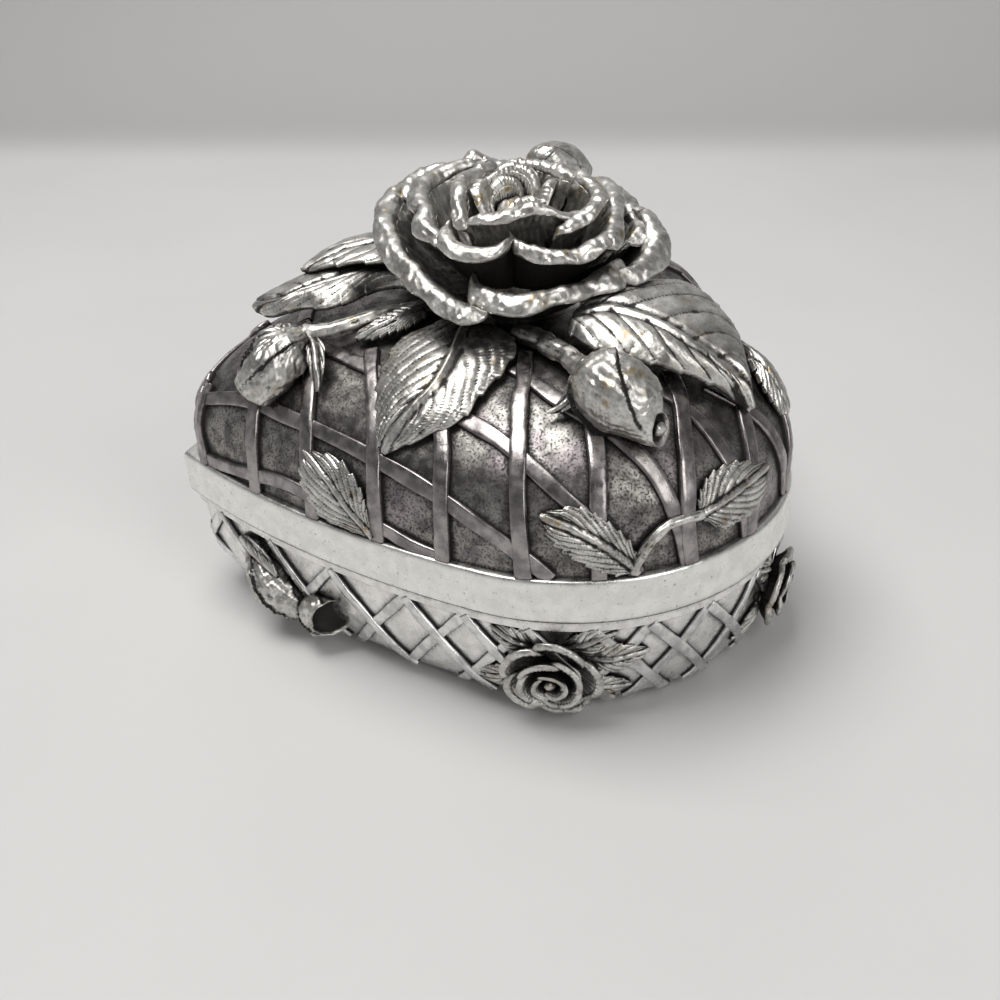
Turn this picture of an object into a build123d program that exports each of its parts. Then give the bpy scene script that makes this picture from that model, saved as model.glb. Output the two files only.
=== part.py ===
from build123d import *
import os
from math import atan2, cos, degrees, pi, radians, sin, sqrt

os.makedirs("parts", exist_ok=True)

# Heart-shaped keepsake box, millimetres. +Z is up, the origin is on the underside, on the line
# between the centres of the two lobes. The tip of the heart points to -Y, the near side is +X.

# Outline of the band: lobe, flank and cleft arcs, each tangent to the next
lobe_radius = 44.0
lobe_offset = 24.0
flank_radius = 205.0
flank_turn = radians(-36.5)
cleft_radius = 5.0
band_tip_radius = 0.8

# Heights of the base and the band, and the gap at the seam
base_height = 24.6
band_height = 9.4
seam_gap = 0.3

# Walls and cloth
base_wall = 2.4
lid_wall = 2.4
lining_thickness = 1.0
pad_thickness = 1.0

# Bowl: drawn in from the outline, curving in to a flat floor
rim_step_height = 2.0
rim_step_inset = 1.3
bowl_inset = 2.2
bowl_reach = 7.0
bowl_tip_radius = 2.0
bowl_tip_growth = 9.0
lip_height = 3.0
lip_thickness = 1.4
lip_clearance = 0.5
pad_inset = 4.0

# Dome: a short upright foot, then a quarter ellipse up to a flat crown
dome_inset = 1.6
foot_height = 7.0
dome_rise = 22.0
dome_reach = 37.0
dome_tip_radius = 13.0
dome_tip_growth = 14.0

# Lattice strips
lid_strip_width = 3.5
lid_strip_height = 1.0
base_strip_width = 2.3
base_strip_height = 1.0
strip_bedding = 0.6
base_strip_slant = 17.0
base_strip_foot = 0.72

# Large rose: seat on the crown, lean towards the near side, and its whorls of petals
rose_x = 8.1
rose_y = -8.0
rose_lean = 10.0
petal_thickness = 1.7
calyx_radius = 13.0
calyx_height = 13.0
calyx_bedding = 1.0
rose_heart_radius = 6.5
rose_heart_height = 25.5
petal_edge_draw = 0.12
petal_edge_drop = 0.22

# Ornaments
leaf_stations = 8
leaf_thickness = 1.6
root_bedding = 0.3
stem_radius = 1.7
twig_radius = 1.0
small_leaf_thickness = 1.3
small_leaf_arch = 0.6
side_rose_radius = 9.2
lobe_rose_radius = 8.0
base_rose_height = 5.5
base_rose_bedding = 0.4
small_petal_thickness = 1.1

# Worked out from the sizes above
band_top = base_height + band_height
crown_height = band_top + foot_height + dome_rise
bowl_top = base_height - seam_gap - rim_step_height
bowl_depth = bowl_top - pad_thickness
flank_x = (flank_radius - lobe_radius) * cos(flank_turn) - lobe_offset
flank_y = -(flank_radius - lobe_radius) * sin(flank_turn)
cleft_y = sqrt((lobe_radius + cleft_radius) ** 2 - lobe_offset**2)
cleft_turn = atan2(cleft_y, -lobe_offset)
dome_arc = (dome_rise + dome_reach) / 2


# Heart outline, drawn in by an inset, with its tip rounded
def tip_centre_y(inset, tip_radius):
    return flank_y - sqrt((flank_radius - inset - tip_radius) ** 2 - flank_x**2)


def heart(height, inset, tip_radius):
    """Face of the heart outline at a height."""
    tip_y = tip_centre_y(inset, tip_radius)
    tip_turn = atan2(tip_y - flank_y, flank_x)
    lobe_arc = degrees(cleft_turn - flank_turn)
    flank_arc = degrees(flank_turn - tip_turn)
    tip_arc = 2 * (90 + degrees(tip_turn))
    cleft_arc = 2 * (degrees(cleft_turn) - 90)
    with BuildSketch(Plane.XY.offset(height)) as outline:
        with BuildLine():
            CenterArc((0, tip_y), tip_radius, degrees(tip_turn) - tip_arc, tip_arc)
            CenterArc((-flank_x, flank_y), flank_radius - inset, degrees(tip_turn), flank_arc)
            CenterArc((lobe_offset, 0), lobe_radius - inset, degrees(flank_turn), lobe_arc)
            CenterArc((0, cleft_y), cleft_radius + inset, degrees(cleft_turn) - 180, -cleft_arc)
            CenterArc((-lobe_offset, 0), lobe_radius - inset, 180 - degrees(cleft_turn), lobe_arc)
            CenterArc((flank_x, flank_y), flank_radius - inset, 180 - degrees(flank_turn), flank_arc)
        make_face()
    return outline.sketch


def heart_loft(sections, mode=Mode.ADD):
    """Loft a solid through heart outlines given as (height, inset, tip radius)."""
    loft([heart(*section) for section in sections], mode=mode)


def heart_prism(bottom, top, inset, tip_radius, mode=Mode.ADD):
    extrude(heart(bottom, inset, tip_radius), amount=top - bottom, mode=mode)


def dome_tip(turn):
    """Radius of the dome's tip, where its curve has turned this far from upright."""
    return dome_tip_radius + dome_tip_growth * sin(turn)


def dome_sections(wall):
    """Outlines up the dome, the whole dome drawn in by a wall thickness."""
    rise = dome_rise - wall
    reach = dome_reach - wall
    inset = dome_inset + wall
    foot_top = band_top + foot_height
    sections = [(band_top, inset, dome_tip(0)), (foot_top, inset, dome_tip(0))]
    for step in range(1, 7):
        turn = step * pi / 12
        drawn_in = reach * (1 - cos(turn))
        sections.append((foot_top + rise * sin(turn), inset + drawn_in, dome_tip(turn)))
    return sections


def bowl_sections(wall):
    """Outlines down the bowl, the whole bowl drawn in by a wall thickness."""
    depth = bowl_depth - wall
    sections = []
    for step in range(6):
        turn = step * pi / 10
        curving = 1 - cos(turn)
        inset = bowl_inset + wall + bowl_reach * curving
        sections.append((bowl_top - depth * sin(turn), inset, bowl_tip_radius + bowl_tip_growth * curving))
    return sections


# Places on the walls, given by the run along the outline from where flank and lobe meet
def outline_point(run, inset, tip_radius):
    """Plan point of the near half of the outline, and its outward direction as an angle."""
    if run >= 0:
        turn = flank_turn + run / lobe_radius
        radius = lobe_radius - inset
        return lobe_offset + radius * cos(turn), radius * sin(turn), turn
    tip_y = tip_centre_y(inset, tip_radius)
    tip_turn = atan2(tip_y - flank_y, flank_x)
    turn = flank_turn + run / flank_radius
    if turn >= tip_turn:
        radius = flank_radius - inset
        return -flank_x + radius * cos(turn), flank_y + radius * sin(turn), turn
    turn = tip_turn - (tip_turn - turn) * flank_radius / tip_radius
    return tip_radius * cos(turn), tip_y + tip_radius * sin(turn), turn


def wall_plane(run, inset, tip_radius, height, slope, lift, side):
    """Plane lying on a wall: its Z direction points out of the wall, lift is how far out it is."""
    x, y, turn = outline_point(run, inset, tip_radius)
    out = Vector(side * cos(turn) * cos(slope), sin(turn) * cos(slope), sin(slope))
    along = Vector(-side * sin(turn), cos(turn), 0)
    return Plane(Vector(side * x, y, height) + out * lift, x_dir=along, z_dir=out)


def on_dome(run, rise, lift, side=1):
    """Plane on the dome, rise mm up its profile from the top of the band."""
    if rise <= foot_height:
        return wall_plane(run, dome_inset, dome_tip(0), band_top + rise, 0, lift, side)
    turn = min((rise - foot_height) / dome_arc, pi / 2)
    drawn_in = dome_reach * (1 - cos(turn))
    height = band_top + foot_height + dome_rise * sin(turn)
    slope = atan2(sin(turn) / dome_rise, cos(turn) / dome_reach)
    return wall_plane(run, dome_inset + drawn_in, dome_tip(turn), height, slope, lift, side)


def on_bowl(run, share, lift, side=1):
    """Plane on the bowl, share 0 to 1 of the way round its curve from the rim step to the floor."""
    turn = share * pi / 2
    curving = 1 - cos(turn)
    tip_radius = bowl_tip_radius + bowl_tip_growth * curving
    height = bowl_top - bowl_depth * sin(turn)
    slope = -atan2(sin(turn) / bowl_depth, cos(turn) / bowl_reach)
    return wall_plane(run, bowl_inset + bowl_reach * curving, tip_radius, height, slope, lift, side)


# Paths over a wall: a smooth curve through planes on it
def blend(values, t):
    """Point at t, 0 to 1, on a smooth curve through evenly spaced tuples."""
    spans = len(values) - 1
    index = min(int(t * spans), spans - 1)
    u = t * spans - index
    before = values[max(index - 1, 0)]
    start = values[index]
    end = values[index + 1]
    after = values[min(index + 2, spans)]
    mixed = []
    for a, b, c, d in zip(before, start, end, after):
        square = a - 2.5 * b + 2 * c - d / 2
        cube = 1.5 * (b - c) + (d - a) / 2
        mixed.append(b + u * (c - a) / 2 + u**2 * square + u**3 * cube)
    return mixed


def section_plane(surface, points, t, side=1):
    """Plane across a path over a wall: X runs across it, Y points out of the wall."""
    step = 0.01
    here = surface(*blend(points, t), side)
    before = surface(*blend(points, max(t - step, 0)), side)
    after = surface(*blend(points, min(t + step, 1)), side)
    forward = (after.origin - before.origin).normalized()
    across = forward.cross(here.z_dir).normalized()
    return Plane(here.origin, x_dir=across, z_dir=across.cross(here.z_dir))


def strip(surface, points, width, height, side=1):
    """A flat strip that follows a path of (run, height) points over a wall, bedded a little into it."""
    points = [point + (0,) for point in points]
    spans = 2 * (len(points) - 1)
    sections = []
    for step in range(spans + 1):
        with BuildSketch(section_plane(surface, points, step / spans, side)) as section:
            with Locations((0, (height - strip_bedding) / 2)):
                Rectangle(width, height + strip_bedding)
        sections.append(section.sketch)
    return loft(sections, mode=Mode.PRIVATE)


def leaf(surface, points, half_width, thickness, arch, side=1, fullest=0.42):
    """A leaf with its midrib on a path over a wall, arched across its width."""
    sections = []
    for step in range(leaf_stations):
        t = step / (leaf_stations - 1)
        place = t / fullest if t < fullest else (1 - t) / (1 - fullest)
        spread = max(half_width * sin(place * pi / 2) ** 0.75, thickness * 0.5)
        rise = arch * spread / half_width
        with BuildSketch(section_plane(surface, points, t, side)) as section:
            with BuildLine():
                ThreePointArc((-spread, -rise), (0, thickness), (spread, -rise))
                ThreePointArc((spread, -rise), (0, thickness * 0.1), (-spread, -rise))
            make_face()
        sections.append(section.sketch)
    return loft(sections, mode=Mode.PRIVATE)


def stem(surface, points, radii, side=1):
    """A round stem or bud along a path over a wall, with its radius blended along it."""
    sizes = [(radius,) for radius in radii]
    spans = 6
    sections = []
    for step in range(spans + 1):
        t = step / spans
        with BuildSketch(section_plane(surface, points, t, side)) as section:
            Circle(blend(sizes, t)[0])
        sections.append(section.sketch)
    return loft(sections, mode=Mode.PRIVATE)


# Roses: petals are shaped in planes through the rose's axis
def petal_profile(root, rim, flare):
    """Lower edge of a petal from its root to its rolled rim, as (radius, height) points."""
    (root_out, root_up), (rim_out, rim_up) = root, rim
    shares = [(0.0, 0.0), (0.42, 0.14 * flare), (0.76, 0.5), (0.93, 0.9), (1.0, 1.0)]
    return [(root_out + a * (rim_out - root_out), root_up + b * (rim_up - root_up)) for a, b in shares]


def rose_heart(rose, radius, height):
    """The closed middle of a rose: a rounded cone under three tight petals."""
    with BuildPart(mode=Mode.PRIVATE) as cone:
        with BuildSketch(Plane.XZ):
            with BuildLine():
                Line((0, 0), (radius * 0.7, 0))
                shoulder = [(radius * 0.7, 0), (radius * 0.85, height * 0.6), (radius * 0.35, height * 0.95)]
                Spline(*shoulder, (0, height))
                Line((0, height), (0, 0))
            make_face()
        revolve(axis=Axis.Z)
    curls = [rose.location * cone.part]
    root = (radius * 0.3, height * 0.4)
    rim = (radius * 1.25, height * 1.04)
    for azimuth in (20, 140, 260):
        curls.append(petal(rose, azimuth, 130, root, rim, radius * 0.15, radius * 0.2, 2.0))
    return curls


def petal(rose, azimuth, span, root, rim, tuck, thickness, flare=1.0):
    """One petal round a rose's axis: tuck slides one edge under the next petal."""
    stations = 5
    sections = []
    for index in range(stations):
        u = 2 * index / (stations - 1) - 1
        turn = azimuth + u * span / 2
        fall = abs(u) ** 2.5
        edge_out = rim[0] * (1 - petal_edge_draw * fall) + tuck * u
        edge_up = rim[1] - petal_edge_drop * (rim[1] - root[1]) * fall
        lower = petal_profile((root[0] + tuck * u * 0.5, root[1]), (edge_out, edge_up), flare)
        upper = [(out - thickness * 0.75, up + thickness * 0.75) for out, up in lower]
        radial = (rose.x_dir * cos(radians(turn)) + rose.y_dir * sin(radians(turn))).normalized()
        with BuildSketch(Plane(rose.origin, x_dir=radial, z_dir=radial.cross(rose.z_dir))) as section:
            with BuildLine():
                Spline(*lower)
                Line(lower[-1], upper[-1])
                Spline(*reversed(upper))
                Line(upper[0], lower[0])
            make_face()
        sections.append(section.sketch)
    return loft(sections, mode=Mode.PRIVATE)


# Paths of the lattice strips on one half of the lid, as (run, rise)
upright_paths = [
    [(-73, 0), (-73.4, 6), (-73.8, 12.6), (-74.4, 18.5)],
    [(-55, 0), (-54.3, 9.6), (-56, 19.5), (-60, 29)],
    [(-38, 0), (-38.6, 13.2), (-44, 26.7), (-54, 37)],
    [(-22, 0), (-22, 13.2), (-26.6, 26.8), (-38, 39.5)],
    [(-7.3, 0), (-7.2, 13.2), (-11, 27), (-23, 41.5)],
    [(9, 0), (8, 15.7), (5, 30.4), (-4, 47)],
    [(22.8, 0), (22.8, 14.5), (23.6, 29.4), (22.5, 44.8)],
    [(40.6, 0), (39.8, 12), (44.7, 26.8), (56, 38.5)],
    [(56, 0), (57, 13), (63.5, 24.5), (78, 34)],
    [(74, 0), (77, 12.6), (84, 24), (96, 34)],
    [(96, 0), (97, 13), (100, 25), (106, 38)],
]
slanting_paths = [
    [(-79, 0), (-62, 2.4), (-44, 5), (-29, 2)],
    [(-31, 7), (-19.5, 2.6), (-9, 0)],
    [(-78, 13.3), (-62, 20.4), (-44, 21), (-25, 19), (-7.3, 14), (7, 5.6), (14, 0)],
    [(-62, 37), (-46, 36.7), (-28.6, 35), (-9, 31), (7, 25.4), (20, 14.5), (30, 0)],
    [(-4.5, 43), (9.8, 38.8), (25, 32.2), (34, 23), (37.6, 10.2), (40, 0)],
    [(38, 43.5), (46, 38), (50.5, 29.8), (52.3, 17.7), (55, 0)],
    [(62, 33), (67.5, 21.4), (69.5, 10.6), (73, 0)],
    [(80, 34), (86, 22), (89, 11), (92, 0)],
    [(94, 36), (101, 23), (105, 9.7), (109, 0)],
]

# Where the strips of the base cross at the rim, as runs
base_strip_tops = [-71, -54, -36, -17.3, -4, 9, 22, 33, 46, 61, 77, 93, 109]

# Leaves round a small rose of the base, as (run, share, lift) from the rose, and half widths
base_leaf_paths = [
    ([(-6, 0.03, 0), (-9, 0.07, 1.2), (-13, 0.12, 1.2), (-17, 0.17, 0.6)], 3.2),
    ([(7, -0.11, 0), (11, -0.12, 1.3), (15, -0.13, 1.3), (19.5, -0.13, 0.6)], 3.6),
    ([(6, 0.09, 0), (9, 0.12, 1.2), (13, 0.15, 1.2), (16.5, 0.18, 0.6)], 3.0),
    ([(-3, -0.17, 0), (-6, -0.22, 1.2), (-9, -0.26, 1.2), (-12, -0.3, 0.6)], 3.0),
    ([(2, -0.18, 0), (6, -0.23, 1.2), (9, -0.27, 1.2), (13, -0.3, 0.6)], 3.0),
]

# Bud of the base with its cup leaf and sepal, as (run, share, lift)
base_bud_path = [(-60, 0.17, 1.5), (-56, 0.27, 2.2), (-51, 0.4, 2.2), (-46, 0.5, 1.5)]
base_bud_radii = [1.6, 4.2, 4.0, 1.6]
base_cup_path = [(-46, 0.42, 1.5), (-40, 0.38, 2.5), (-34, 0.37, 2.0), (-29, 0.36, 0.6)]
base_sepal_path = [(-51, 0.2, 2.5), (-56, 0.12, 3.0), (-61, 0.1, 2.2), (-65, 0.12, 1)]

# Leaves of the lid: name, midrib as (run, rise, lift), half width, arch, side
bed = -root_bedding
leaf_paths = [
    ("leaf_front", [(-19, 51, bed), (-15.5, 39, 3.2), (-16.5, 30, 3.4), (-21.8, 20.5, 1)], 12.6, 2.0, 1),
    ("leaf_right", [(-12, 52, bed), (16, 49.5, 5), (50, 45, 7), (66, 35, 5.5), (64, 25, 2)], 12.5, 2.2, 1),
    ("leaf_far_right", [(92, 39, bed), (87, 31.5, 3), (81, 24, 3), (75, 17.5, 1)], 6.5, 1.2, 1),
    ("leaf_left", [(-34, 52, bed), (-44, 49, 7), (-55, 43, 9), (-68, 33, 7.5)], 13.0, 1.8, 1),
    ("leaf_left_under", [(-28, 52, bed), (-38, 50, 10), (-47, 45, 12), (-56, 39, 10)], 9.0, 1.6, -1),
    ("leaf_small_left", [(-31, 52, bed), (-34.5, 47.5, 3), (-37.5, 42, 3.6), (-42, 37, 1)], 5.0, 1.0, 1),
    ("leaf_back", [(0, 51, bed), (12, 43, 3), (20, 34, 3), (26, 23, 1)], 11.0, 2.0, -1),
    ("leaf_back_right", [(50, 49, bed), (56, 41, 2.4), (60, 33, 2.4), (62, 24, 1)], 9.0, 1.6, -1),
]

# Buds of the lid: name, stem and bud as (run, rise, lift), bud radius, side
bud_paths = [
    (
        "bud_front_right",
        [(-8.5, 51.5, 0.8), (9, 46.5, 3.0), (21, 38, 4.8)],
        [(20.5, 38.2, 4.8), (26.5, 34.6, 5.6), (32, 30.8, 5.2), (37.5, 26.6, 3.4)],
        6.6,
        1,
    ),
    (
        "bud_front_left",
        [(-33, 52, 0.8), (-40.5, 44.5, 3.2), (-47.5, 36.6, 4.4)],
        [(-47, 37, 4.4), (-50.5, 31.4, 4.8), (-53.2, 25.8, 4.4), (-56, 20.4, 2.8)],
        5.3,
        1,
    ),
    (
        "bud_back",
        [(28, 51.5, 0.8), (36, 49.5, 7.5), (44, 46.5, 12.0)],
        [(43, 46.5, 12.0), (50, 44, 13.5), (56, 41, 13.5), (62, 38, 12.0)],
        5.9,
        -1,
    ),
]

# Sprigs low on the lid, as (run, rise, lift), and half widths
sprig_tip_path = [(-23, 0.8, 0.3), (-29, 4.2, 1.5), (-35, 9.4, 1.6), (-41.3, 15.8, 1.0)]
sprig_low_path = [(30, 2.2, 0.3), (25, 5, 1.5), (19, 9.9, 1.6), (12.5, 14.7, 1.0)]
sprig_high_path = [(41, 7.8, 0.3), (47.5, 9.4, 1.5), (54.2, 11, 1.6), (61, 12.4, 0.8)]
sprig_twig_path = [(29.5, 1.6, 0.6), (34, 4.8, 0.8), (38.4, 7, 0.8), (43, 8, 0.8)]
sprig_half_width = 6.4
sprig_arch = 0.9

# Petals of the large rose: ring, azimuths, span, root and rim as (radius, height), tuck, flare
petal_rings = [
    ("outer", (-60, 12, 72, 126, 180, 240), 86, (7.5, 5.0), (27.5, 17.0), 1.0, 1.0),
    ("middle", (0, 72, 144, 216, 288), 96, (6.0, 8.5), (21.0, 23.5), 0.9, 1.3),
    ("inner", (40, 130, 220, 310), 112, (4.5, 11.5), (13.5, 27.0), 0.8, 1.8),
]


# Base
with BuildPart() as base_shell:
    heart_loft(bowl_sections(0))
    heart_prism(bowl_top, base_height - seam_gap, rim_step_inset, bowl_tip_radius)
    lip_inset = dome_inset + lid_wall + lip_clearance
    heart_prism(bowl_top, base_height + lip_height, lip_inset, dome_tip(0))
    heart_loft(bowl_sections(base_wall), mode=Mode.SUBTRACT)
    hollow_inset = lip_inset + lip_thickness
    heart_prism(bowl_top, base_height + lip_height, hollow_inset, dome_tip(0), mode=Mode.SUBTRACT)
base_shell.part.label = "base_shell"
export_step(base_shell.part, "parts/base_shell.step")

with BuildPart() as base_lining:
    heart_loft(bowl_sections(base_wall))
    heart_loft(bowl_sections(base_wall + lining_thickness), mode=Mode.SUBTRACT)
base_lining.part.label = "base_lining"
export_step(base_lining.part, "parts/base_lining.step")

with BuildPart() as base_pad:
    heart_prism(0, pad_thickness, bowl_inset + bowl_reach + pad_inset, bowl_tip_radius + bowl_tip_growth)
base_pad.part.label = "base_pad"
export_step(base_pad.part, "parts/base_pad.step")

with BuildPart() as base_lattice:
    strips = []
    middle = sin(base_strip_foot * pi / 4) / sin(base_strip_foot * pi / 2)
    for side in (1, -1):
        for top in base_strip_tops:
            for lean in (-base_strip_slant, base_strip_slant):
                path = [(top, 0), (top + lean * middle, base_strip_foot / 2), (top + lean, base_strip_foot)]
                strips.append(strip(on_bowl, path, base_strip_width, base_strip_height, side))
    add(strips)
base_lattice.part.label = "base_lattice"
export_step(base_lattice.part, "parts/base_lattice.step")

# Small roses, leaves and buds of the base: the near ones as seen, the far ones mirrored
base_rose_seats = [("side", 13.5, 0.33, side_rose_radius), ("lobe", 72.6, 0.3, lobe_rose_radius)]
for side, name in ((1, "near"), (-1, "far")):
    for place, run, share, radius in base_rose_seats:
        seat = on_bowl(run, share, -base_rose_bedding, side)
        with BuildPart() as base_rose:
            petals = rose_heart(seat, radius * 0.35, base_rose_height)
            for turn in range(0, 360, 72):
                root = (radius * 0.2, base_rose_bedding)
                rim = (radius, base_rose_height * 0.6)
                petals.append(petal(seat, turn, 84, root, rim, 0.5, small_petal_thickness))
            for turn in range(30, 390, 120):
                root = (radius * 0.15, base_rose_height * 0.25)
                rim = (radius * 0.62, base_rose_height * 0.95)
                petals.append(petal(seat, turn, 128, root, rim, 0.4, small_petal_thickness, 1.6))
            add(petals)
        base_rose.part.label = f"base_rose_{name}_{place}"
        export_step(base_rose.part, f"parts/base_rose_{name}_{place}.step")

        with BuildPart() as base_leaves:
            leaves = []
            for path, half_width in base_leaf_paths:
                points = [(run + along, share + down, lift) for along, down, lift in path]
                blade = leaf(on_bowl, points, half_width, small_leaf_thickness, small_leaf_arch, side)
                leaves.append(blade)
            add(leaves)
        base_leaves.part.label = f"base_leaves_{name}_{place}"
        export_step(base_leaves.part, f"parts/base_leaves_{name}_{place}.step")

    with BuildPart() as base_bud:
        bud = stem(on_bowl, base_bud_path, base_bud_radii, side)
        cup = leaf(on_bowl, base_cup_path, 4.6, leaf_thickness, 1.4, side)
        sepal = leaf(on_bowl, base_sepal_path, 2.6, small_leaf_thickness, 0.8, side)
        add([bud, cup, sepal])
    base_bud.part.label = f"base_bud_{name}"
    export_step(base_bud.part, f"parts/base_bud_{name}.step")

# Lid
with BuildPart() as lid_shell:
    heart_loft(dome_sections(0))
    heart_loft(dome_sections(lid_wall), mode=Mode.SUBTRACT)
lid_shell.part.label = "lid_shell"
export_step(lid_shell.part, "parts/lid_shell.step")

with BuildPart() as lid_band:
    heart_prism(base_height, band_top, 0, band_tip_radius)
    heart_prism(base_height, band_top, dome_inset + lid_wall, dome_tip(0), mode=Mode.SUBTRACT)
lid_band.part.label = "lid_band"
export_step(lid_band.part, "parts/lid_band.step")

with BuildPart() as lid_lining:
    heart_loft(dome_sections(lid_wall))
    heart_loft(dome_sections(lid_wall + lining_thickness), mode=Mode.SUBTRACT)
lid_lining.part.label = "lid_lining"
export_step(lid_lining.part, "parts/lid_lining.step")

with BuildPart() as lid_lattice:
    strips = []
    for side in (1, -1):
        for path in upright_paths + slanting_paths:
            strips.append(strip(on_dome, path, lid_strip_width, lid_strip_height, side))
    add(strips)
lid_lattice.part.label = "lid_lattice"
export_step(lid_lattice.part, "parts/lid_lattice.step")

# Leaves of the lid
for name, path, half_width, arch, side in leaf_paths:
    with BuildPart() as lid_leaf:
        add(leaf(on_dome, path, half_width, leaf_thickness, arch, side))
    lid_leaf.part.label = name
    export_step(lid_leaf.part, f"parts/{name}.step")

# Buds of the lid, each on its stem and held by two sepals
for name, stem_path, bud_path, radius, side in bud_paths:
    with BuildPart() as lid_bud:
        twig = stem(on_dome, stem_path, [stem_radius, stem_radius * 0.9, stem_radius * 1.2], side)
        bud = stem(on_dome, bud_path, [radius * 0.35, radius, radius * 0.95, radius * 0.4], side)
        sepals = []
        for across in (-radius, radius):
            base, shoulder, middle = bud_path[0], bud_path[1], bud_path[2]
            sepal_path = [
                base,
                (shoulder[0] + across * 0.35, shoulder[1] + across * 0.35, shoulder[2] + radius * 0.55),
                (middle[0] + across * 0.6, middle[1] + across * 0.6, middle[2] + radius * 0.5),
            ]
            sepals.append(leaf(on_dome, sepal_path, radius * 0.42, small_leaf_thickness, 0.5, side))
        add([twig, bud] + sepals)
    lid_bud.part.label = name
    export_step(lid_bud.part, f"parts/{name}.step")

# Leaf sprigs low on the lid: a single leaf near the tip, a pair on one stem round the lobe
for side, name in ((1, "near"), (-1, "far")):
    with BuildPart() as sprig_tip:
        add(leaf(on_dome, sprig_tip_path, sprig_half_width, small_leaf_thickness, sprig_arch, side))
    sprig_tip.part.label = f"sprig_{name}_tip"
    export_step(sprig_tip.part, f"parts/sprig_{name}_tip.step")

    with BuildPart() as sprig_lobe:
        low_leaf = leaf(on_dome, sprig_low_path, sprig_half_width, small_leaf_thickness, sprig_arch, side)
        high_leaf = leaf(on_dome, sprig_high_path, sprig_half_width, small_leaf_thickness, sprig_arch, side)
        twig = stem(on_dome, sprig_twig_path, [twig_radius, twig_radius, twig_radius], side)
        add([low_leaf, high_leaf, twig])
    sprig_lobe.part.label = f"sprig_{name}_lobe"
    export_step(sprig_lobe.part, f"parts/sprig_{name}_lobe.step")

# Large rose
lean = radians(rose_lean)
rose_axis = (sin(lean), 0, cos(lean))
rose = Plane((rose_x, rose_y, crown_height), x_dir=(cos(lean), 0, -sin(lean)), z_dir=rose_axis)

with BuildPart() as rose_calyx:
    with BuildSketch(Plane(rose.origin, x_dir=rose.x_dir, z_dir=-rose.y_dir)):
        with BuildLine():
            Polyline((0, calyx_height), (0, -calyx_radius / 2), (calyx_radius, -calyx_radius / 2))
            Line((calyx_radius, -calyx_radius / 2), (calyx_radius, 0.8))
            Spline((calyx_radius, 0.8), (calyx_radius * 0.62, 3.4), (calyx_radius * 0.5, calyx_height))
            Line((calyx_radius * 0.5, calyx_height), (0, calyx_height))
        make_face()
    revolve(axis=Axis(rose.origin, rose.z_dir))
    split(bisect_by=Plane.XY.offset(crown_height - calyx_bedding), keep=Keep.TOP)
rose_calyx.part.label = "rose_calyx"
export_step(rose_calyx.part, "parts/rose_calyx.step")

for ring, azimuths, span, root, rim, tuck, flare in petal_rings:
    for number, azimuth in enumerate(azimuths, start=1):
        with BuildPart() as rose_petal:
            add(petal(rose, azimuth, span, root, rim, tuck, petal_thickness, flare))
        rose_petal.part.label = f"rose_{ring}_petal_{number}"
        export_step(rose_petal.part, f"parts/rose_{ring}_petal_{number}.step")

with BuildPart() as rose_middle:
    add(rose_heart(rose, rose_heart_radius, rose_heart_height))
rose_middle.part.label = "rose_heart"
export_step(rose_middle.part, "parts/rose_heart.step")
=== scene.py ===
import math

import bmesh
import bpy
import numpy as np
from mathutils import Matrix, Vector


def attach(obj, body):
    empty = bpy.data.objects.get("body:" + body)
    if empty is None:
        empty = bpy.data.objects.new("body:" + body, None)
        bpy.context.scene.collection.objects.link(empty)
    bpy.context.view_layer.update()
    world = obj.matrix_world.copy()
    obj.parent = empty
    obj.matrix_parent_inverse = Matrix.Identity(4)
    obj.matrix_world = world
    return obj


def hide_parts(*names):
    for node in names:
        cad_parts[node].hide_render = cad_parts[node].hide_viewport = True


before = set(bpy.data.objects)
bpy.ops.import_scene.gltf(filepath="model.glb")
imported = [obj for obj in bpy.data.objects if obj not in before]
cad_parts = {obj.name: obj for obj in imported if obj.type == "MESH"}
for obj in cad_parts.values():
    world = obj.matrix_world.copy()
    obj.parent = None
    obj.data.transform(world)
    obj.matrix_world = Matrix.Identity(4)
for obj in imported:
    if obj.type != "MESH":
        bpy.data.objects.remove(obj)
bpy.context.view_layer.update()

# Sizes of the box, in mm, the same as in the CAD part
MM = 0.001
LOBE_RADIUS = 44.0
LOBE_OFFSET = 24.0
FLANK_RADIUS = 205.0
FLANK_TURN = math.radians(-36.5)
CLEFT_RADIUS = 5.0
FLANK_X = (FLANK_RADIUS - LOBE_RADIUS) * math.cos(FLANK_TURN) - LOBE_OFFSET
FLANK_Y = -(FLANK_RADIUS - LOBE_RADIUS) * math.sin(FLANK_TURN)
CLEFT_Y = math.sqrt((LOBE_RADIUS + CLEFT_RADIUS) ** 2 - LOBE_OFFSET**2)
BAND_BOTTOM = 24.6
BAND_TOP = 34.0
DOME_INSET = 1.6
DOME_FOOT = 7.0
DOME_RISE = 22.0
DOME_REACH = 37.0
DOME_TIP = 13.0
DOME_TIP_GROWTH = 14.0
DOME_ARC = (DOME_RISE + DOME_REACH) / 2
BOWL_TOP = 22.3
BOWL_DEPTH = 21.3
BOWL_INSET = 2.2
BOWL_REACH = 7.0
BOWL_TIP = 2.0
BOWL_TIP_GROWTH = 9.0
WALL = 2.4
ROSE_ORIGIN = np.array([8.1, -8.0, 63.0])
ROSE_LEAN = math.radians(10)


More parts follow.
